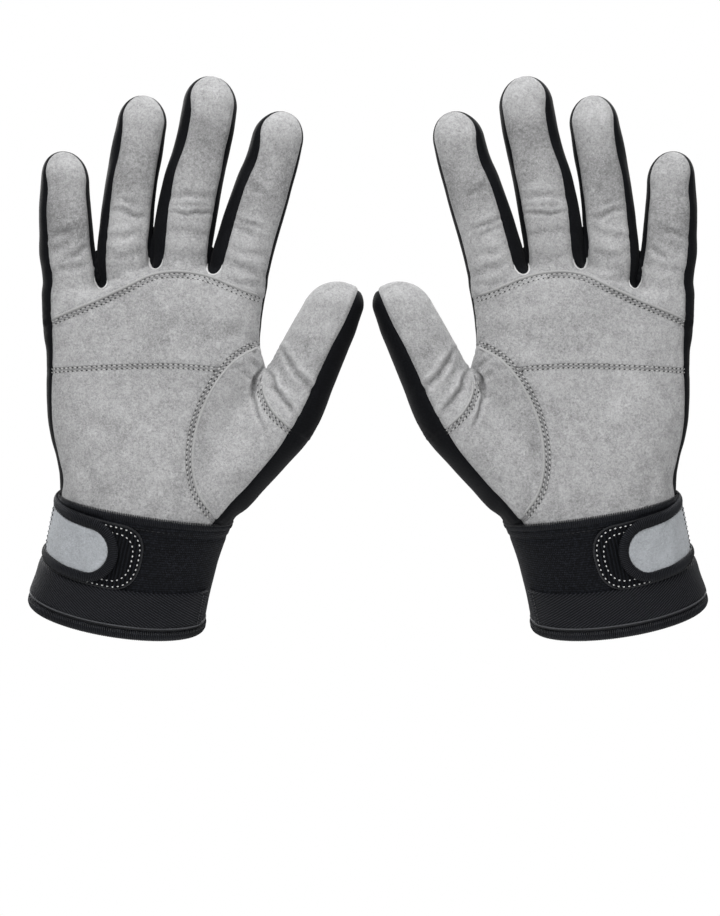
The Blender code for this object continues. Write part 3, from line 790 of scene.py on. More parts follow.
def painted_light_and_mottle(p):
    """Painted light and shade on the suede, with random mottle: lighter above 0 and darker below 0. Painted
    highlights on the pads and the wrinkles' lips; painted shade on the limbs' middles, the suede's edges,
    the wrinkles and the thumb's crotch; darker beside the thenar seam and low on the heel.
    """
    u, v, w = p.T
    thumb = on_thumb(u, v)
    # random mottle, and darker low on the heel by the wrist
    out = 0.25 * value_noise(p, 11.0, 71) + 0.2 * value_noise(p, 5.0, 72) - 0.5 * bump(v, 1, 7)
    # painted shade at the suede's edges, where the surface turns away from the light
    out -= 0.6 * np.exp(-np.maximum(suede(u, v, w), 0) / 1.3)
    which = nearest_finger(u, v)
    for i, name in enumerate(FINGERS):
        top, fold = FINGER_FORM[name]["dome"], FINGER_FORM[name]["folds"][0]
        # painted highlight on each finger's pad, painted shade on its middle, and painted light just above
        # its base fold
        shade = 0.6 * bump(v, top + 3, 9) - 1.6 * bump(v, top - 19, 12) + 0.3 * bump(v, fold + 4, 9)
        out += np.where(~thumb & (v > 84) & (which == i), shade, 0)
    # painted highlight on the thumb's tip and painted shade on its middle
    out += np.where(thumb, 0.5 * bump(v, 98, 12) - 0.5 * bump(v, 78, 9), 0)
    # painted shade in the wrinkles and painted highlight on their lips
    out += 1.2 * wrinkles(p)
    # painted shade in the thumb's crotch
    out -= 0.7 * bump(np.hypot(u - 38, v - 67), 0, 6)
    # darker beside the thenar seam, on the thumb's side and below v 66
    out -= 0.4 * bump(u - track(THENAR_SEAM, v), 5, 4) * (v < 66)
    return out


# ------------------------------------------------------------------ materials

MATERIALS = {}
IN_MILLIMETRES = (1000, 1000, 1000)
STITCH_PITCH = 2.1
ROWS = (-0.72, 0.72)
LAP = 2.0
# Plain threads and edges, and dark pits painted as the shade inside each needle hole: (darkest colour,
# lightest colour, roughness).
THREADS = {
    "pale_thread": ((0.42, 0.42, 0.42), (0.66, 0.66, 0.65), 0.5),
    "white_thread": ((0.55, 0.55, 0.55), (0.85, 0.85, 0.84), 0.5),
    "grey_thread": ((0.012, 0.012, 0.014), (0.05, 0.05, 0.055), 0.5),
    "piping_thread": ((0.03, 0.031, 0.036), (0.085, 0.087, 0.096), 0.5),
    "overlock_thread": ((0.003, 0.003, 0.004), (0.032, 0.034, 0.04), 0.5),
    "pale_suede_edge": ((0.30, 0.30, 0.30), (0.46, 0.46, 0.46), 0.9),
    "turned_suede": ((0.46, 0.46, 0.46), (0.72, 0.72, 0.72), 0.9),
    # dark thread, also used as painted shade in the hem's groove and at the strap face's edge
    "black_thread_and_shade": ((0.0012, 0.0015, 0.0022), (0.0095, 0.011, 0.0145), 0.5),
    # dark pits painted as the shade inside each needle hole
    "needle_hole_shade": ((0.012, 0.012, 0.012), (0.04, 0.04, 0.04), 0.9),
}


class Nodes:
    """Short words for building a node material, with its textures laid out in millimetres."""

    def __init__(self, name, rough, specular, sheen=0.0, sheen_rough=0.5):
        self.material = bpy.data.materials.new(name)
        self.material.use_nodes = True
        self.tree = self.material.node_tree
        self.shader = self.tree.nodes["Principled BSDF"]
        self.shader.inputs["Roughness"].default_value = rough
        self.shader.inputs["Specular IOR Level"].default_value = specular
        self.shader.inputs["Sheen Weight"].default_value = sheen
        self.shader.inputs["Sheen Roughness"].default_value = sheen_rough
        MATERIALS[name] = self.material

    def add(self, kind, **values):
        """A new node; each value sets one of its settings or inputs."""
        node = self.tree.nodes.new(kind)
        for key, value in values.items():
            if hasattr(node, key):
                setattr(node, key, value)
            else:
                node.inputs[key].default_value = value
        return node

    def link(self, out, to):
        self.tree.links.new(out, to)

    def place(self, kind="Object", scale=IN_MILLIMETRES, turn=(0, 0, 0)):
        mapping = self.add("ShaderNodeMapping", Scale=scale, Rotation=turn)
        self.link(self.add("ShaderNodeTexCoord").outputs[kind], mapping.inputs["Vector"])
        return mapping.outputs["Vector"]

    def around(self, turn=0.0):
        """The piece's own millimetres: along or round it, and across or up it."""
        return self.place("UV", (1, 1, 1), (0, 0, turn))

    def noise(self, where, scale, detail, roughness, distortion=0.0):
        node = self.add("ShaderNodeTexNoise", Scale=scale, Detail=detail, Roughness=roughness)
        node.inputs["Distortion"].default_value = distortion
        self.link(where, node.inputs["Vector"])
        return node.outputs["Fac"]

    def wave(self, where, scale, direction, distortion):
        node = self.add("ShaderNodeTexWave", bands_direction=direction, Scale=scale, Distortion=distortion)
        self.link(where, node.inputs["Vector"])
        return node.outputs["Fac"]

    def math(self, how, a, b=0.0, clamp=False):
        node = self.add("ShaderNodeMath", operation=how, use_clamp=clamp)
        for socket, value in zip(node.inputs, (a, b)):
            if isinstance(value, (int, float)):
                socket.default_value = value
            else:
                self.link(value, socket)
        return node.outputs[0]

    def total(self, *parts):
        """The sum of (value, share) pairs."""
        scaled = [self.math("MULTIPLY", value, share) for value, share in parts]
        result = scaled[0]
        for value in scaled[1:]:
            result = self.math("ADD", result, value)
        return result

    def line(self, distance, at, width):
        """1 where distance is `at`, falling to 0 over `width`."""
        off = self.math("ABSOLUTE", self.math("SUBTRACT", distance, at))
        return self.math("SUBTRACT", 1.0, self.math("DIVIDE", off, width), True)

    def colour(self, value, *stops):
        """The base colour, from (place, colour) stops."""
        node = self.add("ShaderNodeValToRGB")
        elements = node.color_ramp.elements
        while len(elements) < len(stops):
            elements.new(0.5)
        for element, (at, colour) in zip(elements, stops):
            element.position = at
            element.color = (*colour, 1)
        self.link(value, node.inputs["Fac"])
        self.link(node.outputs["Color"], self.shader.inputs["Base Color"])

    def rough(self, value, share, least):
        spread = self.math("ADD", self.math("MULTIPLY", value, share), least)
        self.link(spread, self.shader.inputs["Roughness"])

    def bumps(self, *layers):
        """Each layer is (height, strength, distance in millimetres)."""
        last = None
        for height, strength, distance in layers:
            node = self.add("ShaderNodeBump", Strength=strength, Distance=distance * METRES)
            self.link(height, node.inputs["Height"])
            if last:
                self.link(last, node.inputs["Normal"])
            last = node.outputs["Normal"]
        self.link(last, self.shader.inputs["Normal"])


def suede_material(name, shades, tint, seams):
    """Mottled suede; with seams it also takes the painted light and shade and mottle from its mesh, and
    gets painted shade and a sunk bump along the seam lines and their stitch rows.
    """
    look = Nodes(name, 0.93, 0.1, 0.12)
    where = look.place()
    broad = look.noise(where, 0.035, 4, 0.6)
    patch = look.noise(where, 0.16, 4, 0.6, 0.4)
    tuft = look.noise(where, 0.5, 4, 0.7, 0.9)
    grain = look.noise(where, 1.25, 4, 0.8, 0.6)
    fleck = look.noise(where, 3.2, 2, 0.7)
    tones = [(patch, 0.16), (broad, 0.1), (tuft, 0.24), (grain, 0.5)]
    layers = [(patch, 0.3, 0.4), (tuft, 0.6, 0.45), (grain, 0.7, 0.3), (fleck, 0.4, 0.12)]
    if seams:
        # the mesh's painted light and shade, with random mottle
        light_and_mottle = look.add("ShaderNodeAttribute", attribute_name="painted_light_and_mottle").outputs["Fac"]
        split = look.add("ShaderNodeSeparateXYZ")
        look.link(look.around(), split.inputs[0])
        along, off = split.outputs["X"], split.outputs["Y"]
        # painted shade along the seam line and its stitch rows, where the bump sinks
        seam_dip_shade = look.math("MAXIMUM", look.line(off, ROWS[1], 0.6), look.line(off, 0.0, 0.35))
        beat = look.math("SINE", look.math("MULTIPLY", along, 2 * math.pi / STITCH_PITCH))
        pull = look.math("ADD", look.math("MULTIPLY", beat, 0.5), 0.5)
        pulled = look.math("MULTIPLY", look.line(off, 0.0, 3.6), pull)
        tones += [(light_and_mottle, 0.05), (seam_dip_shade, -0.08)]
        layers += [(look.math("SUBTRACT", 1.0, seam_dip_shade), 0.9, 0.5), (pulled, 0.6, 0.4)]
    colours = [tuple(shade * share for share in tint) for shade in shades]
    look.colour(look.total(*tones), *zip((0.36, 0.5, 0.64), colours))
    look.rough(grain, 0.14, 0.82)
    look.bumps(*layers)


def stretch_material():
    look = Nodes("black_stretch_knit", 0.85, 0.1, 0.03, 0.4)
    where = look.place()
    wales = look.noise(look.place(scale=(1000, 1000, 240)), 1.1, 2, 0.5)
    rows = look.wave(look.place(turn=(0, 0.16, 0)), 0.5, "Z", 0.8)
    knit = look.math("MULTIPLY", wales, rows)
    fuzz = look.noise(where, 2.2, 3, 0.7)
    look.colour(
        look.total((knit, 0.25), (fuzz, 0.75)),
        (0.25, (0.0008, 0.0009, 0.0014)),
        (0.5, (0.0034, 0.0038, 0.0052)),
        (0.75, (0.014, 0.0148, 0.018)),
    )
    look.rough(look.noise(where, 0.08, 3, 0.5), 0.2, 0.66)
    look.bumps((knit, 0.25, 0.2), (fuzz, 0.35, 0.14))


def neoprene_material():
    look = Nodes("black_neoprene_knit", 0.78, 0.11, 0.03, 0.35)
    where = look.around()
    knit = look.math("MULTIPLY", look.wave(where, 0.42, "X", 0.1), look.wave(where, 0.3, "Y", 0.1))
    fuzz = look.noise(look.place(), 1.05, 3, 0.75)
    look.colour(
        look.total((knit, 0.2), (fuzz, 0.8)),
        (0.36, (0.0003, 0.0005, 0.0011)),
        (0.46, (0.0025, 0.0031, 0.005)),
        (0.58, (0.014, 0.0156, 0.0205)),
    )
    look.rough(fuzz, 0.25, 0.6)
    look.bumps((knit, 0.5, 0.25), (fuzz, 0.35, 0.15))


def elastic_material():
    look = Nodes("black_twill_elastic", 0.62, 0.14, 0.02, 0.3)
    twill = look.wave(look.around(math.radians(60)), 0.33, "X", 0.05)
    cords = look.wave(look.around(), 0.5, "X", 0.05)
    height = look.total((twill, 0.7), (cords, 0.3))
    fuzz = look.noise(look.place(), 2.4, 2, 0.6)
    look.colour(
        look.total((height, 0.7), (fuzz, 0.3)),
        (0.2, (0.0004, 0.0006, 0.0012)),
        (0.55, (0.0052, 0.0059, 0.0084)),
        (0.85, (0.034, 0.036, 0.044)),
    )
    look.bumps((height, 0.9, 0.5), (fuzz, 0.2, 0.1))


def binding_material():
    look = Nodes("black_ribbed_binding", 0.66, 0.15, 0.02, 0.35)
    where = look.around()
    ribs = look.wave(where, 0.4, "X", 0.5)
    strands = look.wave(where, 1.1, "X", 0.8)
    fuzz = look.noise(look.place(), 2.8, 3, 0.7)
    look.colour(
        look.total((ribs, 0.6), (fuzz, 0.4)),
        (0.25, (0.0007, 0.0009, 0.0015)),
        (0.6, (0.0045, 0.0053, 0.0078)),
        (0.9, (0.027, 0.03, 0.039)),
    )
    look.bumps((ribs, 0.8, 0.4), (strands, 0.5, 0.12), (fuzz, 0.4, 0.15))


def loop_material():
    look = Nodes("black_loop_pile", 0.95, 0.06, 0.03, 0.6)
    pile = look.noise(look.place(), 1.9, 5, 0.8, 1.2)
    ribs = look.wave(look.around(), 0.2, "X", 0.6)
    look.colour(
        look.total((pile, 0.75), (ribs, 0.25)),
        (0.3, (0.0004, 0.0006, 0.001)),
        (0.5, (0.0023, 0.0028, 0.0041)),
        (0.75, (0.0135, 0.0155, 0.0205)),
    )
    look.bumps((pile, 0.9, 0.45), (ribs, 0.6, 0.35))


def thread_material(name, dark, light, rough):
    look = Nodes(name, rough, 0.35, 0.1, 0.3)
    twist = look.wave(look.place(turn=(0.6, 0.5, 0.4)), 1.2, "X", 0.5)
    fuzz = look.noise(look.place(), 3.0, 2, 0.6)
    look.colour(look.total((twist, 0.6), (fuzz, 0.4)), (0.2, dark), (0.8, light))
    look.bumps((twist, 0.6, 0.1))


def floor_material():
    look = Nodes("pale_floor", 0.9, 0.1)
    clouds = look.noise(look.place(scale=(1, 1, 1)), 3.0, 2, 0.5)
    look.colour(clouds, (0.3, (0.86, 0.86, 0.86)), (0.7, (0.9, 0.9, 0.9)))


def make_materials():
    suede_material("grey_suede", (0.18, 0.355, 0.535), (1.0, 1.0, 1.01), True)
    suede_material("grey_strap_suede", (0.29, 0.415, 0.54), (0.955, 1.0, 1.05545), False)
    stretch_material()
    neoprene_material()
    elastic_material()
    binding_material()
    loop_material()
    for name, look in THREADS.items():
        thread_material(name, *look)
    floor_material()


# ------------------------------------------------------------------ pieces


def add_mesh(name, shape, material, normals=None, light_and_mottle=None):
    """An object from a shape, which is (points, faces) or (points, faces, uvs)."""
    points, faces = shape[:2]
    mesh = bpy.data.meshes.new(name)
    faces = [tuple(int(i) for i in face) for face in faces]
    mesh.from_pydata(np.asarray(points, float).tolist(), [], faces)
    mesh.polygons.foreach_set("use_smooth", [True] * len(mesh.polygons))
    # painted light and shade, with random mottle, kept on the points for the suede material
    if light_and_mottle is not None:
        mesh.attributes.new("painted_light_and_mottle", "FLOAT", "POINT").data.foreach_set("value", light_and_mottle)
    if len(shape) > 2:
        layer = mesh.uv_layers.new(name="millimetres")
        order = np.zeros(len(mesh.loops), np.int32)
        mesh.loops.foreach_get("vertex_index", order)
        layer.data.foreach_set("uv", np.asarray(shape[2], float)[order].ravel())
    mesh.materials.append(MATERIALS[material])
    mesh.validate()
    if normals is not None:
        mesh.normals_split_custom_set_from_vertices(np.asarray(normals, float).tolist())
    mesh.update()
    obj = bpy.data.objects.new(name, mesh)
    bpy.context.scene.collection.objects.link(obj)
    return obj


def add_both(name, shape, material, nodes=(), zone=None, body="hands", normals=None, light_and_mottle=None):
    """The right-hand piece and its mirror image. zone is (other body, start, end) for cloth at a bend; here
    a piece with a zone is only baked in place, not attached to a body.
    """
    made = []
    for side in SIDES:
        points, faces, *uvs = shape
        if side == "left":
            faces = [face[::-1] for face in faces]
        turned = None
        if normals is not None:
            turned = unit(place(normals, side) - place(np.zeros(3), side))
        obj = add_mesh(f"{side}_{name}", (place(points, side), faces, *uvs), material, turned, light_and_mottle)
        main = body if body == "hands" else f"{side}_{body}"
        if zone:
            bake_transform(obj)
        else:
            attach(obj, main)
        if nodes:
            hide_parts(*[f"{side}_{n}" for n in nodes])
        made.append(obj)
    return made


# The box that the skin is meshed in, and the size of its cells.
SKIN_LOW, SKIN_HIGH, SKIN_STEP = (-72, -62, -42), (84, 190, 34), 1.08


def build_skin():
    """The glove's skin, cut along all its seams."""
    p, tris = surface_nets(hand_form, SKIN_LOW, SKIN_HIGH, SKIN_STEP)
    p = relax(to_surface(p), tris, 5)
    skin = Skin(p, tris)

    def front(u, v, w):
        return (w > 1) & ~on_thumb(u, v)

    skin.cut("hem", hem_cut)
    skin.cut("cuff", cuff_cut)
    skin.cut("suede", suede, lambda u, v, w: wrist_height(v, w) > -1)
    skin.cut("thumb", thumb_cut, lambda u, v, w: (v > 30) & (u > 30) & (slant(u, v)[1] > -17))
    skin.cut("thumb_tip", thumb_split, lambda u, v, w: (u > 40) & (v > 50))
    skin.cut("finger", finger_cut(0), lambda u, v, w: ~on_thumb(u, v) & (v > 84))
    skin.cut("finger_tip", finger_cut(1), lambda u, v, w: ~on_thumb(u, v) & (v > 97))
    skin.cut("finger_seam", finger_seam, lambda u, v, w: front(u, v, w) & (v > 55))
    skin.cut("palm_seam", palm_seam, lambda u, v, w: front(u, v, w) & (v > 40) & (v < 80))
    skin.cut("thenar_seam", thenar_seam, lambda u, v, w: front(u, v, w) & (v > -4) & (v < 84))
    return skin


def label(skin):
    """The name of the panel that each triangle belongs to."""
    sides = skin.sides
    u, v, w = skin.p[skin.tris].mean(1).T
    grey_side = sides["suede"]
    names = np.where(grey_side, "palm_heel", "hand_back").astype(object)
    thenar = grey_side & sides["thenar_seam"] & ~sides["finger_seam"] & (v < 82) & (w > -4)
    names[grey_side & sides["palm_seam"] & ~sides["thenar_seam"] & (v > 40)] = "palm_upper"
    names[grey_side & (v > 66) & ~sides["finger_seam"] & ~thenar] = "palm_upper"
    names[thenar] = "palm_thumb"
    names[grey_side & sides["finger_seam"] & (v > 60)] = "finger_row"
    thumb = sides["thumb"] & (v > 30) & (u > 34) & ((v < 84) | on_thumb(u, v))
    finger = sides["finger"] & ~thumb & (v > 84) & (u < 45)
    which = nearest_finger(u, v)
    limbs = [(name, finger & (which == i), sides["finger_tip"]) for i, name in enumerate(FINGERS)]
    for name, mine, far in [*limbs, ("thumb", thumb, sides["thumb_tip"])]:
        names[mine & grey_side & ~far] = f"{name}_base_suede"
        names[mine & ~grey_side & ~far] = f"{name}_base_stretch"
        names[mine & grey_side & far] = f"{name}_tip_suede"
        names[mine & ~grey_side & far] = f"{name}_tip_stretch"
    names[~sides["cuff"]] = "cuff"
    names[~sides["hem"]] = "waste"
    return names


# Panels of the hand: material, slot and the nodes that they replace.
PANELS = {
    "palm_heel": ("grey_suede", "grey_suede", ("palm_heel_suede",)),
    "palm_upper": ("grey_suede", "grey_suede", ("palm_upper_suede",)),
    "palm_thumb": ("grey_suede", "grey_suede", ("palm_thumb_suede",)),
    "finger_row": ("grey_suede", "grey_suede", ()),
    "hand_back": ("black_stretch_knit", "black_stretch", ("hand_back_stretch",)),
    "cuff": ("black_neoprene_knit", "black_neoprene", ("cuff_neoprene",)),
}
# Looks of the limbs' panels, by the last word of their names.
CLOTHS = {
    "suede": ("grey_suede", "grey_suede"),
    "stretch": ("black_stretch_knit", "black_stretch"),
}


def zone_of(name):
    """The two bodies that a finger's piece hangs between, and the stretch it bends over."""
    finger, part, _ = name.split("_")
    tip = part == "tip"
    if finger == "thumb":
        foot, head = (np.array([*THUMB_AHEAD, 0]) * ahead for ahead in THUMB_ZONES[tip])
    else:
        form = FINGER_FORM[finger]
        fold, cut = form["folds"][tip], form["cuts"][tip]
        before, after = (8.0, 9.0) if tip else (5.5, 6.5)
        low, high = max(fold - before, cut + 0.1), fold + after
        if not tip:
            high = min(high, form["cuts"][1] - 0.1)
        foot, head = np.array([0, low, 0]), np.array([0, high, 0])
    return f"{finger}_base" if tip else "hands", (f"{finger}_{part}", foot, head)


def make_panels():
    """All the pieces of the skin; returns its displaced points and its triangles."""
    skin = build_skin()
    names = label(skin)
    keep = names != "waste"
    tris, names = skin.tris[keep], names[keep]
    normal = normals_of(skin.p, tris)
    moved = skin.p + normal * relief(skin.p)[:, None]
    normal = normals_of(moved, tris)
    height, depth = cuff_frame(*moved.T)
    around = np.arctan2(depth, moved[:, 0] - CUFF_MIDDLE) * CUFF_RADIUS
    plain_uv, seam_uv = np.stack([around, height], 1), seam_map(skin.p)
    for name in sorted(set(names)):
        used, index = np.unique(tris[names == name], return_inverse=True)
        if name in PANELS:
            material, slot, nodes = PANELS[name]
            body, zone = "hands", None
        else:
            material, slot = CLOTHS[name.split("_")[-1]]
            body, zone = zone_of(name)
            nodes = (name,)
        uv, light_and_mottle = plain_uv, None
        # suede pieces carry their painted light and shade, with mottle, as a point attribute
        if material == "grey_suede":
            uv, light_and_mottle = seam_uv, painted_light_and_mottle(skin.p[used])
        shape = moved[used], index.reshape(-1, 3), uv[used]
        made = add_both(name, shape, material, nodes, zone, body, normal[used], light_and_mottle)
    return moved, tris


# ------------------------------------------------------------------ threads and beads


def flipped(faces):
    """The same faces, turned to face the other way."""
    return [(face[0], *face[:0:-1]) for face in faces]


def grid_faces(rows, columns, ring=False, loop=False):
    """Quads between rows of points. ring closes each row, and loop joins the last row to the first."""
    faces = []
    for row in range(rows if loop else rows - 1):
        here, there = row * columns, (row + 1) % rows * columns
        for j in range(columns if ring else columns - 1):
            k = (j + 1) % columns
            faces.append((here + j, there + j, there + k, here + k))
    return faces


def lengths_along(path):
    return np.concatenate([[0], np.cumsum(np.linalg.norm(np.diff(path, axis=0), axis=1))])


def path_frames(path, outward, closed=False):
    """Direction along a path, across it, and out of the surface that it lies on."""
    ahead = unit(np.roll(path, -1, 0) - np.roll(path, 1, 0) if closed else np.gradient(path, axis=0))
    out = unit(outward - ahead * (outward * ahead).sum(1)[:, None])
    return ahead, np.cross(ahead, out), out


def resample(path, normal, pitch):
    """Points every `pitch` millimetres along a path, with their normals."""
    steps = lengths_along(path)
    count = max(2, int(steps[-1] / pitch))
    at = (np.arange(count) + 0.5) * steps[-1] / count
    even = np.stack([np.interp(at, steps, path[:, i]) for i in range(3)], 1)
    up = np.stack([np.interp(at, steps, normal[:, i]) for i in range(3)], 1)
    return even, unit(up)


def smoothed(path, rounds):
    for _ in range(rounds):
        path[1:-1] = (path[:-2] + path[2:] + 2 * path[1:-1]) / 4
    return path


def stitches(path, normal, pitch, length, thick, lift=0.1, shift=0.0, turn=0.0):
    """Short arched threads along a path, moved on by `shift` and slanted by `turn`."""
    spots, up = resample(path, normal, pitch)
    ahead, side, out = path_frames(spots, up)
    spots = spots + ahead * shift
    cos, sin = math.cos(turn), math.sin(turn)
    ahead, side = ahead * cos + side * sin, side * cos - ahead * sin
    rings, around = 5, 6
    points = []
    for k in range(rings):
        x = (k / (rings - 1) - 0.5) * length
        arch = 1 - (2 * k / (rings - 1) - 1) ** 2
        fat = thick * (0.35 + 0.65 * math.sqrt(max(arch, 0.0)))
        centre = spots + ahead * x + out * (lift + thick * 0.9 * arch - thick * 0.5)
        for j in range(around):
            a = 2 * math.pi * j / around
            points.append(centre + side * (fat * math.cos(a)) + out * (fat * 0.8 * math.sin(a)))
    last = (rings - 1) * around
    one = grid_faces(rings, around, ring=True)
    one.append(tuple(range(around)))
    one.append(tuple(range(last, last + around))[::-1])
    points = np.stack(points, 1)
    parts = [(block, one) for block in points]
    return join(parts)


def join(parts):
    """Several shapes as one, without their uvs."""
    points, faces, total = [], [], 0
    for part in parts:
        points.append(part[0])
        faces += [tuple(i + total for i in face) for face in part[1]]
        total += len(part[0])
    return np.concatenate(points), faces


def tube(path, normal, wide, high, around=12, closed=False, ribs=None, taper=0):
    """A bead along a path, ribbed by (pitch, depth); its uvs are (length, round) in millimetres."""
    n = len(path)
    _, side, out = path_frames(path, normal, closed)
    length = lengths_along(path)
    swell = np.ones(n)
    if ribs:
        pitch, depth = ribs
        turns = round(length[-1] / pitch)
        swell = 1 + depth * (np.abs(np.sin(math.pi * turns * length / length[-1])) - 0.6)
    if taper:
        swell = swell * np.sqrt(np.clip(np.minimum(length, length[-1] - length) / taper, 0.02, 1))
    points, uv = [], []
    for j in range(around):
        a = 2 * math.pi * j / around
        x, y = wide * math.cos(a), high * math.sin(a)
        points.append(path + side * (x * swell)[:, None] + out * (y * swell)[:, None])
        uv.append(np.stack([length, np.full(n, a * (wide + high) / 2)], 1))
    faces = grid_faces(n, around, ring=True, loop=closed)
    if not closed:
        faces.append(tuple(range(around)))
        faces.append(tuple((n - 1) * around + j for j in range(around))[::-1])
    return np.stack(points, 1).reshape(-1, 3), faces, np.stack(uv, 1).reshape(-1, 2)


# ------------------------------------------------------------------ the cuff's surface

ANGLES = np.linspace(-math.pi, 2 * math.pi, 1501)
ARC = lengths_along(np.stack([CUFF_WIDE * np.cos(ANGLES), CUFF_DEEP * np.sin(ANGLES)], 1))


def arc_at(degrees):
    """Distance round the cuff in millimetres; 0 degrees is its thumb side and 90 its palm side."""
    return np.interp(math.radians(degrees), ANGLES, ARC)


def full_round(count):
    """Even steps once round the cuff."""
    start = arc_at(0)
    return np.linspace(start, start + (arc_at(180) - start) * 2, count + 1)[:-1]


def on_cuff(arc, height, out):
    """A point on the cuff by its distance round it and its height, moved out from the skin."""
    arc, height, out = np.broadcast_arrays(np.asarray(arc, float), height, out)
    a = np.interp(arc, ARC, ANGLES)
    nx, ny = np.cos(a) / CUFF_WIDE, np.sin(a) / CUFF_DEEP
    away = (out + CUFF_THICK) / np.hypot(nx, ny)
    middle = CUFF_MIDDLE + CUFF_SHIFT * height
    u = middle + cuff_reach(height, np.cos(a) > 0) * np.cos(a) + nx * away
    return from_cuff(u, height, CUFF_DEEP * np.sin(a) + ny * away)


def cuff_normal(arc, height):
    return unit(on_cuff(arc, height, 1.0) - on_cuff(arc, height, 0.0))


class Tongue:
    """A strap end on the cuff: it starts at one angle, ends in a half round, and lies across a height."""

    def __init__(self, start, reach, top, bottom, power=2.0, bulb=1.0):
        self.start, self.end = arc_at(start), arc_at(reach)
        self.middle, self.half = (top + bottom) / 2, (top - bottom) / 2
        self.length = abs(self.end - self.start)
        self.way = math.copysign(1, self.end - self.start)
        self.bulb, self.power = self.half * bulb, power

    def limit(self, y, inset):
        """How far along the tongue its edge is, at a height y."""
        half = self.half - inset
        share = np.maximum(1 - np.abs(y / half) ** self.power, 0) ** (1 / self.power)
        return self.length - inset - self.bulb * (1 - inset / self.half) * (1 - share)

    def point(self, x, y, out):
        return on_cuff(self.start + self.way * x, self.middle + y, out)

    def normal(self, x, y):
        return cuff_normal(self.start + self.way * x, self.middle + y)

    def sheet(self, inset, crown, nx, ny, front=True):
        """A grid over the tongue; crown(distance from its edge, x, y) is how far out it lies."""
        half = self.half - inset
        points, uv = [], []
        for y in half * np.sin(np.linspace(-math.pi / 2, math.pi / 2, ny)):
            xs = np.linspace(0, 1, nx) ** 0.85 * self.limit(y, inset)
            rim = np.minimum(half - abs(y), self.limit(y, inset) - xs)
            points.append(self.point(xs, y, crown(np.maximum(rim, 0), xs, y)))
            uv.append(np.stack([xs, np.full(nx, y)], 1))
        faces = grid_faces(ny, nx)
        return np.concatenate(points), flipped(faces) if front else faces, np.concatenate(uv)

    def outline(self, inset, out, count=260):
        """Round the edge, from the start along the bottom, round the end and back along the top."""
        half = self.half - inset
        bend = self.bulb * (1 - inset / self.half)
        straight = self.length - inset - bend
        a = np.linspace(-math.pi / 2, math.pi / 2, 80)
        cos = np.maximum(np.cos(a), 0) ** (2 / self.power)
        sin = np.sign(a) * np.abs(np.sin(a)) ** (2 / self.power)
        side = np.linspace(0, straight, 60)
        xs = np.concatenate([side[:-1], straight + bend * cos, side[-2::-1]])
        ys = np.concatenate([np.full(59, -half), half * sin, np.full(59, half)])
        steps = lengths_along(np.stack([xs, ys], 1))
        at = np.linspace(0, steps[-1], count)
        xs, ys = np.interp(at, steps, xs), np.interp(at, steps, ys)
        return self.point(xs, ys, out(xs) if callable(out) else out), self.normal(xs, ys)


# ------------------------------------------------------------------ patch, strap, band and hem

PATCH = Tongue(152, 79.5, 1.2, -27.2, 2.6, 0.85)
STRAP = Tongue(206, 95, 1.6, -26.0)
STRAP_RIM = 4.0
STRAP_ZONE = (-9.0, 4.5)
STRAP_ROWS = (2.0, 14.5, 16.4)
PATCH_ROWS = (1.1, 3.7)
BAND_START, BAND_END = arc_at(17), arc_at(213)
BAND_LOW, BAND_HIGH = -42.9, -27.0
BINDING_HEIGHT, PIPING_HEIGHT, GROOVE_HEIGHT, OVERLOCK_HEIGHT = -46.4, -42.8, -43.75, -45.3
LINING_LOW, LINING_HIGH, LINING_IN = -45.0, 4.0, -3.0


def make_patch():
    """The loop patch, its white stitches and its edge."""

    def pile(rim, x, y):
        return 1.15 * np.minimum(rim / 0.9, 1) ** 0.5 + 0.12 * np.sin(x * 1.9) * np.minimum(rim / 3, 1)

    shape = PATCH.sheet(0.0, pile, 56, 34)
    add_both("landing_patch_loop", shape, "black_loop_pile", ("landing_patch_loop",))
    rows = []
    for inset in PATCH_ROWS:
        path, normal = PATCH.outline(inset, 1.15)
        rows.append(stitches(path[30:-30], normal[30:-30], 2.15, 0.85, 0.27, 0.15))
    add_both("patch_stitches", join(rows), "white_thread")
    edge = tube(*PATCH.outline(0.2, 0.5), 0.55, 0.5, 8, ribs=(0.9, 0.2))
    add_both("patch_edge", edge, "black_thread_and_shade")


def strap_out(x):
    """The strap's distance off the cuff: sewn down at its root and lying over the patch at its end."""
    return 0.15 + 1.15 * step01(x, 20, 34)


def make_strap():
    """The strap's hook side, suede face, ribbed binding and stitches; the dark bead at the face's edge is
    both a stitch line and painted shade.
    """

    def under(rim, x, y):
        return strap_out(x)

    def over(rim, x, y):
        return strap_out(x) + 1.2 + 0.6 * np.minimum(rim / 2.2, 1) ** 0.6 + 0.12 * np.sin(x * 0.5 + y * 0.3)

    zone = ("strap", *(from_cuff(-40.0, -12.0, depth) for depth in STRAP_ZONE))
    shape = STRAP.sheet(0.6, under, 44, 22, front=False)
    add_both("strap_hook_side", shape, "black_loop_pile", (), zone)
    shape = STRAP.sheet(STRAP_RIM - 0.5, over, 52, 34)
    add_both("strap_face", shape, "grey_strap_suede", ("strap_face",), zone)
    edge = STRAP.outline(2.0, lambda x: strap_out(x) + 1.0, 900)
    shape = tube(*edge, 2.15, 1.25, 14, ribs=(0.8, 0.07))
    add_both("strap_binding", shape, "black_ribbed_binding", ("strap_core",), zone)
    # a dark ribbed bead at the face's edge: the stitch line there, and painted shade where the binding
    # meets the suede face
    edge = STRAP.outline(STRAP_RIM - 0.05, lambda x: strap_out(x) + 1.5, 700)
    shape = tube(*edge, 0.3, 0.42, 8, ribs=(2.0, 0.35))
    add_both("strap_edge_stitches_and_shade", shape, "black_thread_and_shade", (), zone)
    rows = []
    ys = np.linspace(-STRAP.half + 4.4, STRAP.half - 4.4, 40)
    for x in STRAP_ROWS:
        path = STRAP.point(x, ys, strap_out(x) + 1.85)
        rows.append(stitches(path, STRAP.normal(x, ys), 1.9, 1.2, 0.28, 0.0))
    add_both("strap_root_stitches", join(rows), "black_thread_and_shade", (), zone)


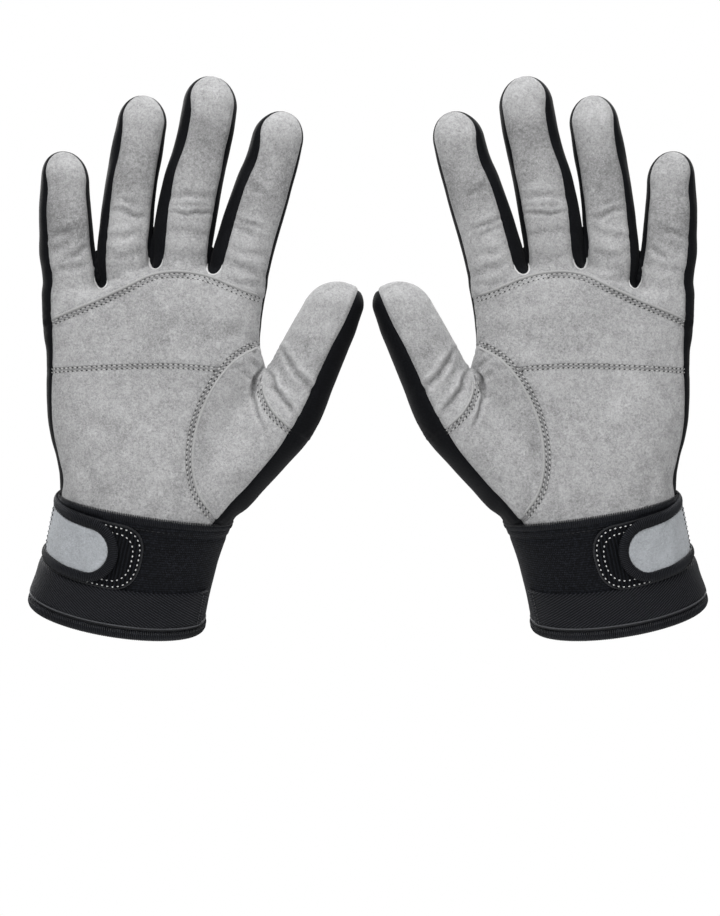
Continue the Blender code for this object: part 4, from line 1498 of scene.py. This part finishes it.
def make_band():
    """The elastic band round the lower cuff, and the stitches at its end."""
    arcs = np.linspace(BAND_START, BAND_END, 260)
    low, high = BAND_LOW - 0.02, BAND_HIGH + 0.02
    heights = [low, *np.linspace(BAND_LOW, BAND_HIGH, 18), high]
    points, uv = [], []
    for height in heights:
        rim = min(height - low, high - height)
        ends = np.minimum(np.minimum(arcs - BAND_START, BAND_END - arcs) / 0.8, 1)
        out = (0.35 + 0.75 * min(rim / 0.9, 1) ** 0.5) * ends + 0.14 * np.sin(arcs * 0.21 + height * 0.3)
        out += 0.3 * bump(arcs - BAND_START, 1.6, 1.3)
        tucked = (height in (low, high)) | (arcs < BAND_START + 0.01) | (arcs > BAND_END - 0.01)
        points.append(on_cuff(arcs, height, np.where(tucked, -0.8, out)))
        uv.append(np.stack([arcs, np.full(len(arcs), height)], 1))
    shape = np.concatenate(points), grid_faces(len(heights), len(arcs)), np.concatenate(uv)
    add_both("wrist_band_elastic", shape, "black_twill_elastic", ("wrist_band_elastic",))
    sewn_at = BAND_START + 3.4
    heights = np.linspace(-42.0, -28.2, 30)
    row = stitches(on_cuff(sewn_at, heights, 1.25), cuff_normal(sewn_at, heights), 1.7, 1.1, 0.24)
    arcs = np.linspace(BAND_START + 0.6, BAND_START + 4.6, 12)
    tack = stitches(on_cuff(arcs, -27.3, 1.2), cuff_normal(arcs, -27.3), 0.8, 0.7, 0.3)
    add_both("band_end_stitches", join([row, tack]), "grey_thread")


def make_hem():
    """The hem's binding, with the piping, a dark bead painted as the shade of the groove under the piping,
    and the overlock threads above it.
    """
    arcs = full_round(1400)

    def ring(height, out):
        return on_cuff(arcs, height, out), cuff_normal(arcs, height)

    shape = tube(*ring(BINDING_HEIGHT, -1.3), 2.75, 2.35, 14, True, ribs=(0.8, 0.06))
    add_both("hem_binding", shape, "black_ribbed_binding", ("hem_binding",))
    at_start = step01(arcs, BAND_START - 0.6, BAND_START + 1.4)
    at_end = step01(-arcs, -BAND_END - 0.6, -BAND_END + 1.4)
    shape = tube(*ring(PIPING_HEIGHT, 0.1 + 0.75 * at_start * at_end), 0.34, 0.34, 8, True, ribs=(1.2, 0.2))
    add_both("hem_cord", shape, "piping_thread")
    # painted shade: a dark bead where the groove under the piping lies in shadow
    shape = tube(*ring(GROOVE_HEIGHT, -0.25), 0.9, 0.5, 8, True)
    add_both("hem_groove_shade", shape, "black_thread_and_shade")
    shape = stitches(*ring(OVERLOCK_HEIGHT, 0.82), 0.9, 1.8, 0.19, 0.0, turn=1.42)
    add_both("hem_overlock", shape, "overlock_thread")


def make_lining():
    """The cuff's inside, seen through the hand opening."""
    arcs = full_round(120)
    heights = np.linspace(LINING_LOW, LINING_HIGH, 14)
    points = np.concatenate([on_cuff(arcs, height, LINING_IN) for height in heights])
    uv = np.concatenate([np.stack([arcs, np.full(len(arcs), height)], 1) for height in heights])
    faces = flipped(grid_faces(len(heights), len(arcs), ring=True))
    add_both("cuff_lining", (points, faces, uv), "black_neoprene_knit")


# ------------------------------------------------------------------ seams of the wrist and palm


def wrist_ring(level, lift):
    """The line round the glove where it meets a plane at that height above the mitre."""
    a = np.linspace(0, 2 * math.pi, 901)[:-1]
    u, depth = CUFF_MIDDLE + CUFF_WIDE * np.cos(a), CUFF_DEEP * np.sin(a)
    p = from_cuff(u, depth * MITRE, depth)
    up = np.array([0, 1, MITRE]) / math.sqrt(1 + MITRE**2)
    for _ in range(8):
        p = to_surface(p, 1)
        p = p - up * (wrist_height(p[:, 1], p[:, 2]) - level)[:, None]
    out = unit(gradient(hand_form, p))
    return p + out * lift, out


def make_wrist_seam():
    shape = tube(*wrist_ring(0.3, 0.45), 1.25, 0.6, 10, True, ribs=(0.7, 0.12))
    add_both("wrist_seam_overlock", shape, "black_ribbed_binding")
    shape = stitches(*wrist_ring(1.7, 0.4), 0.75, 1.7, 0.26, 0.0, turn=1.3)
    add_both("wrist_seam_teeth", shape, "black_thread_and_shade")
    shape = stitches(*wrist_ring(-3.1, 0.65), 2.2, 1.6, 0.18, 0.0)
    add_both("wrist_seam_stitches", shape, "black_thread_and_shade")


def surface_path(tree, spots):
    """Points on the front of the glove at (u, v), with their normals."""
    path, normal = [], []
    for u, v in spots:
        hit, up, _, _ = tree.ray_cast(Vector((u, v, 80)), Vector((0, 0, -1)))
        if hit is not None:
            path.append(hit)
            normal.append(up)
    return np.array(path, float), np.array(normal, float)


def offset_line(spots, off):
    """A line beside another; a positive distance lies on its left."""
    ahead = unit(np.gradient(spots, axis=0))
    return spots + np.stack([-ahead[:, 1], ahead[:, 0]], 1) * off


def seam_lines():
    """Each seam of the palm as (u, v) spots, and which way its upper panel is lapped."""
    us = np.linspace(-50.4, 32.6, 240)
    fingers = np.stack([us, track(FINGER_SEAM, us)], 1)
    us = np.linspace(-48.2, 19.5, 200)
    palm = np.stack([us, track(PALM_SEAM, us)], 1)
    vs = np.linspace(2.6, 77.2, 240)
    root = np.stack([track(THENAR_SEAM, vs), vs], 1)
    across = np.linspace(-7.5, 17.0, 90)
    mouth = np.stack(from_slant(track(THUMB_SEAM, across), across), 1)
    return (fingers, LAP), (palm, 0), (root, -LAP), (mouth, LAP)


def make_seam_threads(tree):
    """Two rows of stitches along each palm seam, dark pits painted as the shade inside each needle hole,
    and the lapped edges.
    """
    threads, hole_shades, laps = [], [], []
    for line, lap in seam_lines():
        for off in ROWS:
            path, normal = surface_path(tree, offset_line(line, off))
            threads.append(stitches(path, normal, STITCH_PITCH, 1.45, 0.22, -0.03, 0, 0.3))
            # painted shade: dark pits sunk between the stitches, where the needle went through
            hole_shades.append(stitches(path, normal, STITCH_PITCH, 0.85, 0.27, -0.1, STITCH_PITCH / 2, 0.5))
        if lap:
            path, normal = surface_path(tree, offset_line(line, lap * 0.86))
            even, up = resample(smoothed(path, 3), normal, 0.6)
            laps.append(tube(even - up * 0.08, up, 0.6, 0.42, 8, taper=3))
    add_both("seam_laps", join(laps), "pale_suede_edge")
    add_both("seam_stitches", join(threads), "pale_thread")
    add_both("needle_hole_shades", join(hole_shades), "needle_hole_shade")


def make_gap_rims(tree):
    """The turned edge of the suede round the foot of each gap between fingers."""
    a = np.linspace(-math.pi / 2, math.pi / 2, 40)
    arm = np.linspace(0.9, 0.1, 9)
    rims = []
    for foot_u, foot_v, half, lean in GAPS:
        wide = half + 0.3
        middle = foot_v + half / FOOT_ROUND
        across = np.concatenate([np.full(9, -wide), wide * np.sin(a), np.full(9, wide)])
        vs = np.concatenate([middle + arm, middle - wide / FOOT_ROUND * np.cos(a), middle + arm[::-1]])
        us = across + foot_u + lean * (vs - foot_v)
        path, normal = surface_path(tree, np.stack([us, vs], 1))
        even, up = resample(smoothed(path, 4), normal, 0.4)
        rims.append(tube(even, up, 0.5, 0.42, 8, taper=3))
    add_both("crotch_rims", join(rims), "turned_suede")


def main():
    make_materials()
    points, tris = make_panels()
    tree = BVHTree.FromPolygons(points.tolist(), tris.tolist())
    make_seam_threads(tree)
    make_gap_rims(tree)
    make_wrist_seam()
    make_patch()
    make_strap()
    make_band()
    make_hem()
    make_lining()


# ------------------------------------------------------------------ stage

IMAGE_HEIGHT = 0.3847
LENS, SENSOR = 100.0, 36.0
LOOK_AT = Vector((-0.0034, 0.0, 0.067))
WHITE = (1, 1, 1, 1)
AMBIENT = 0.30
# Area lights: where each stands, its power in watts and its width.
LIGHTS = {
    "key": ((-0.35, -0.85, 0.95), 11.0, 0.45),
    "fill": ((0.75, -0.8, 0.25), 2.6, 0.7),
    "top": ((0.0, -0.1, 1.0), 5.0, 0.6),
    "back_left": ((-0.8, 0.9, 0.5), 9.0, 0.6),
    "back_right": ((0.7, 0.9, 0.9), 9.0, 0.6),
}
FLOOR_RADIUS, FLOOR_HEIGHT, FLOOR_SIDES = 0.62, -0.27, 96


def make_camera(scene):
    camera = bpy.data.cameras.new("photo_camera")
    camera.lens = LENS
    camera.sensor_fit = "VERTICAL"
    camera.sensor_height = SENSOR
    holder = bpy.data.objects.new("photo_camera", camera)
    scene.collection.objects.link(holder)
    holder.location = LOOK_AT + Vector((0, -IMAGE_HEIGHT * LENS / SENSOR, 0))
    holder.rotation_euler = (math.pi / 2, 0, 0)
    scene.camera = holder


def make_world(scene):
    """White to the camera, and a softer white as light."""
    world = scene.world or bpy.data.worlds.new("world")
    scene.world = world
    world.use_nodes = True
    tree = world.node_tree
    background = tree.nodes["Background"]
    background.inputs["Color"].default_value = WHITE
    soft = tree.nodes.new("ShaderNodeBackground")
    soft.inputs["Color"].default_value = WHITE
    soft.inputs["Strength"].default_value = AMBIENT
    path = tree.nodes.new("ShaderNodeLightPath")
    mix = tree.nodes.new("ShaderNodeMixShader")
    tree.links.new(path.outputs["Is Camera Ray"], mix.inputs[0])
    tree.links.new(soft.outputs[0], mix.inputs[1])
    tree.links.new(background.outputs[0], mix.inputs[2])
    tree.links.new(mix.outputs[0], tree.nodes["World Output"].inputs["Surface"])


def make_stage():
    scene = bpy.context.scene
    scene.view_settings.view_transform = "Standard"
    make_camera(scene)
    make_world(scene)
    for name, (spot, power, size) in LIGHTS.items():
        light = bpy.data.lights.new(name, "AREA")
        light.energy, light.size = power, size
        lamp = bpy.data.objects.new(name, light)
        lamp.location = spot
        lamp.rotation_euler = (LOOK_AT - Vector(spot)).to_track_quat("-Z", "Y").to_euler()
        scene.collection.objects.link(lamp)
    turns = np.linspace(0, 2 * math.pi, FLOOR_SIDES + 1)[:-1]
    ring = [(FLOOR_RADIUS * math.cos(a), FLOOR_RADIUS * math.sin(a), FLOOR_HEIGHT) for a in turns]
    floor = add_mesh("floor", (ring, [tuple(range(FLOOR_SIDES))]), "pale_floor")


main()
make_stage()
bpy.context.view_layer.update()
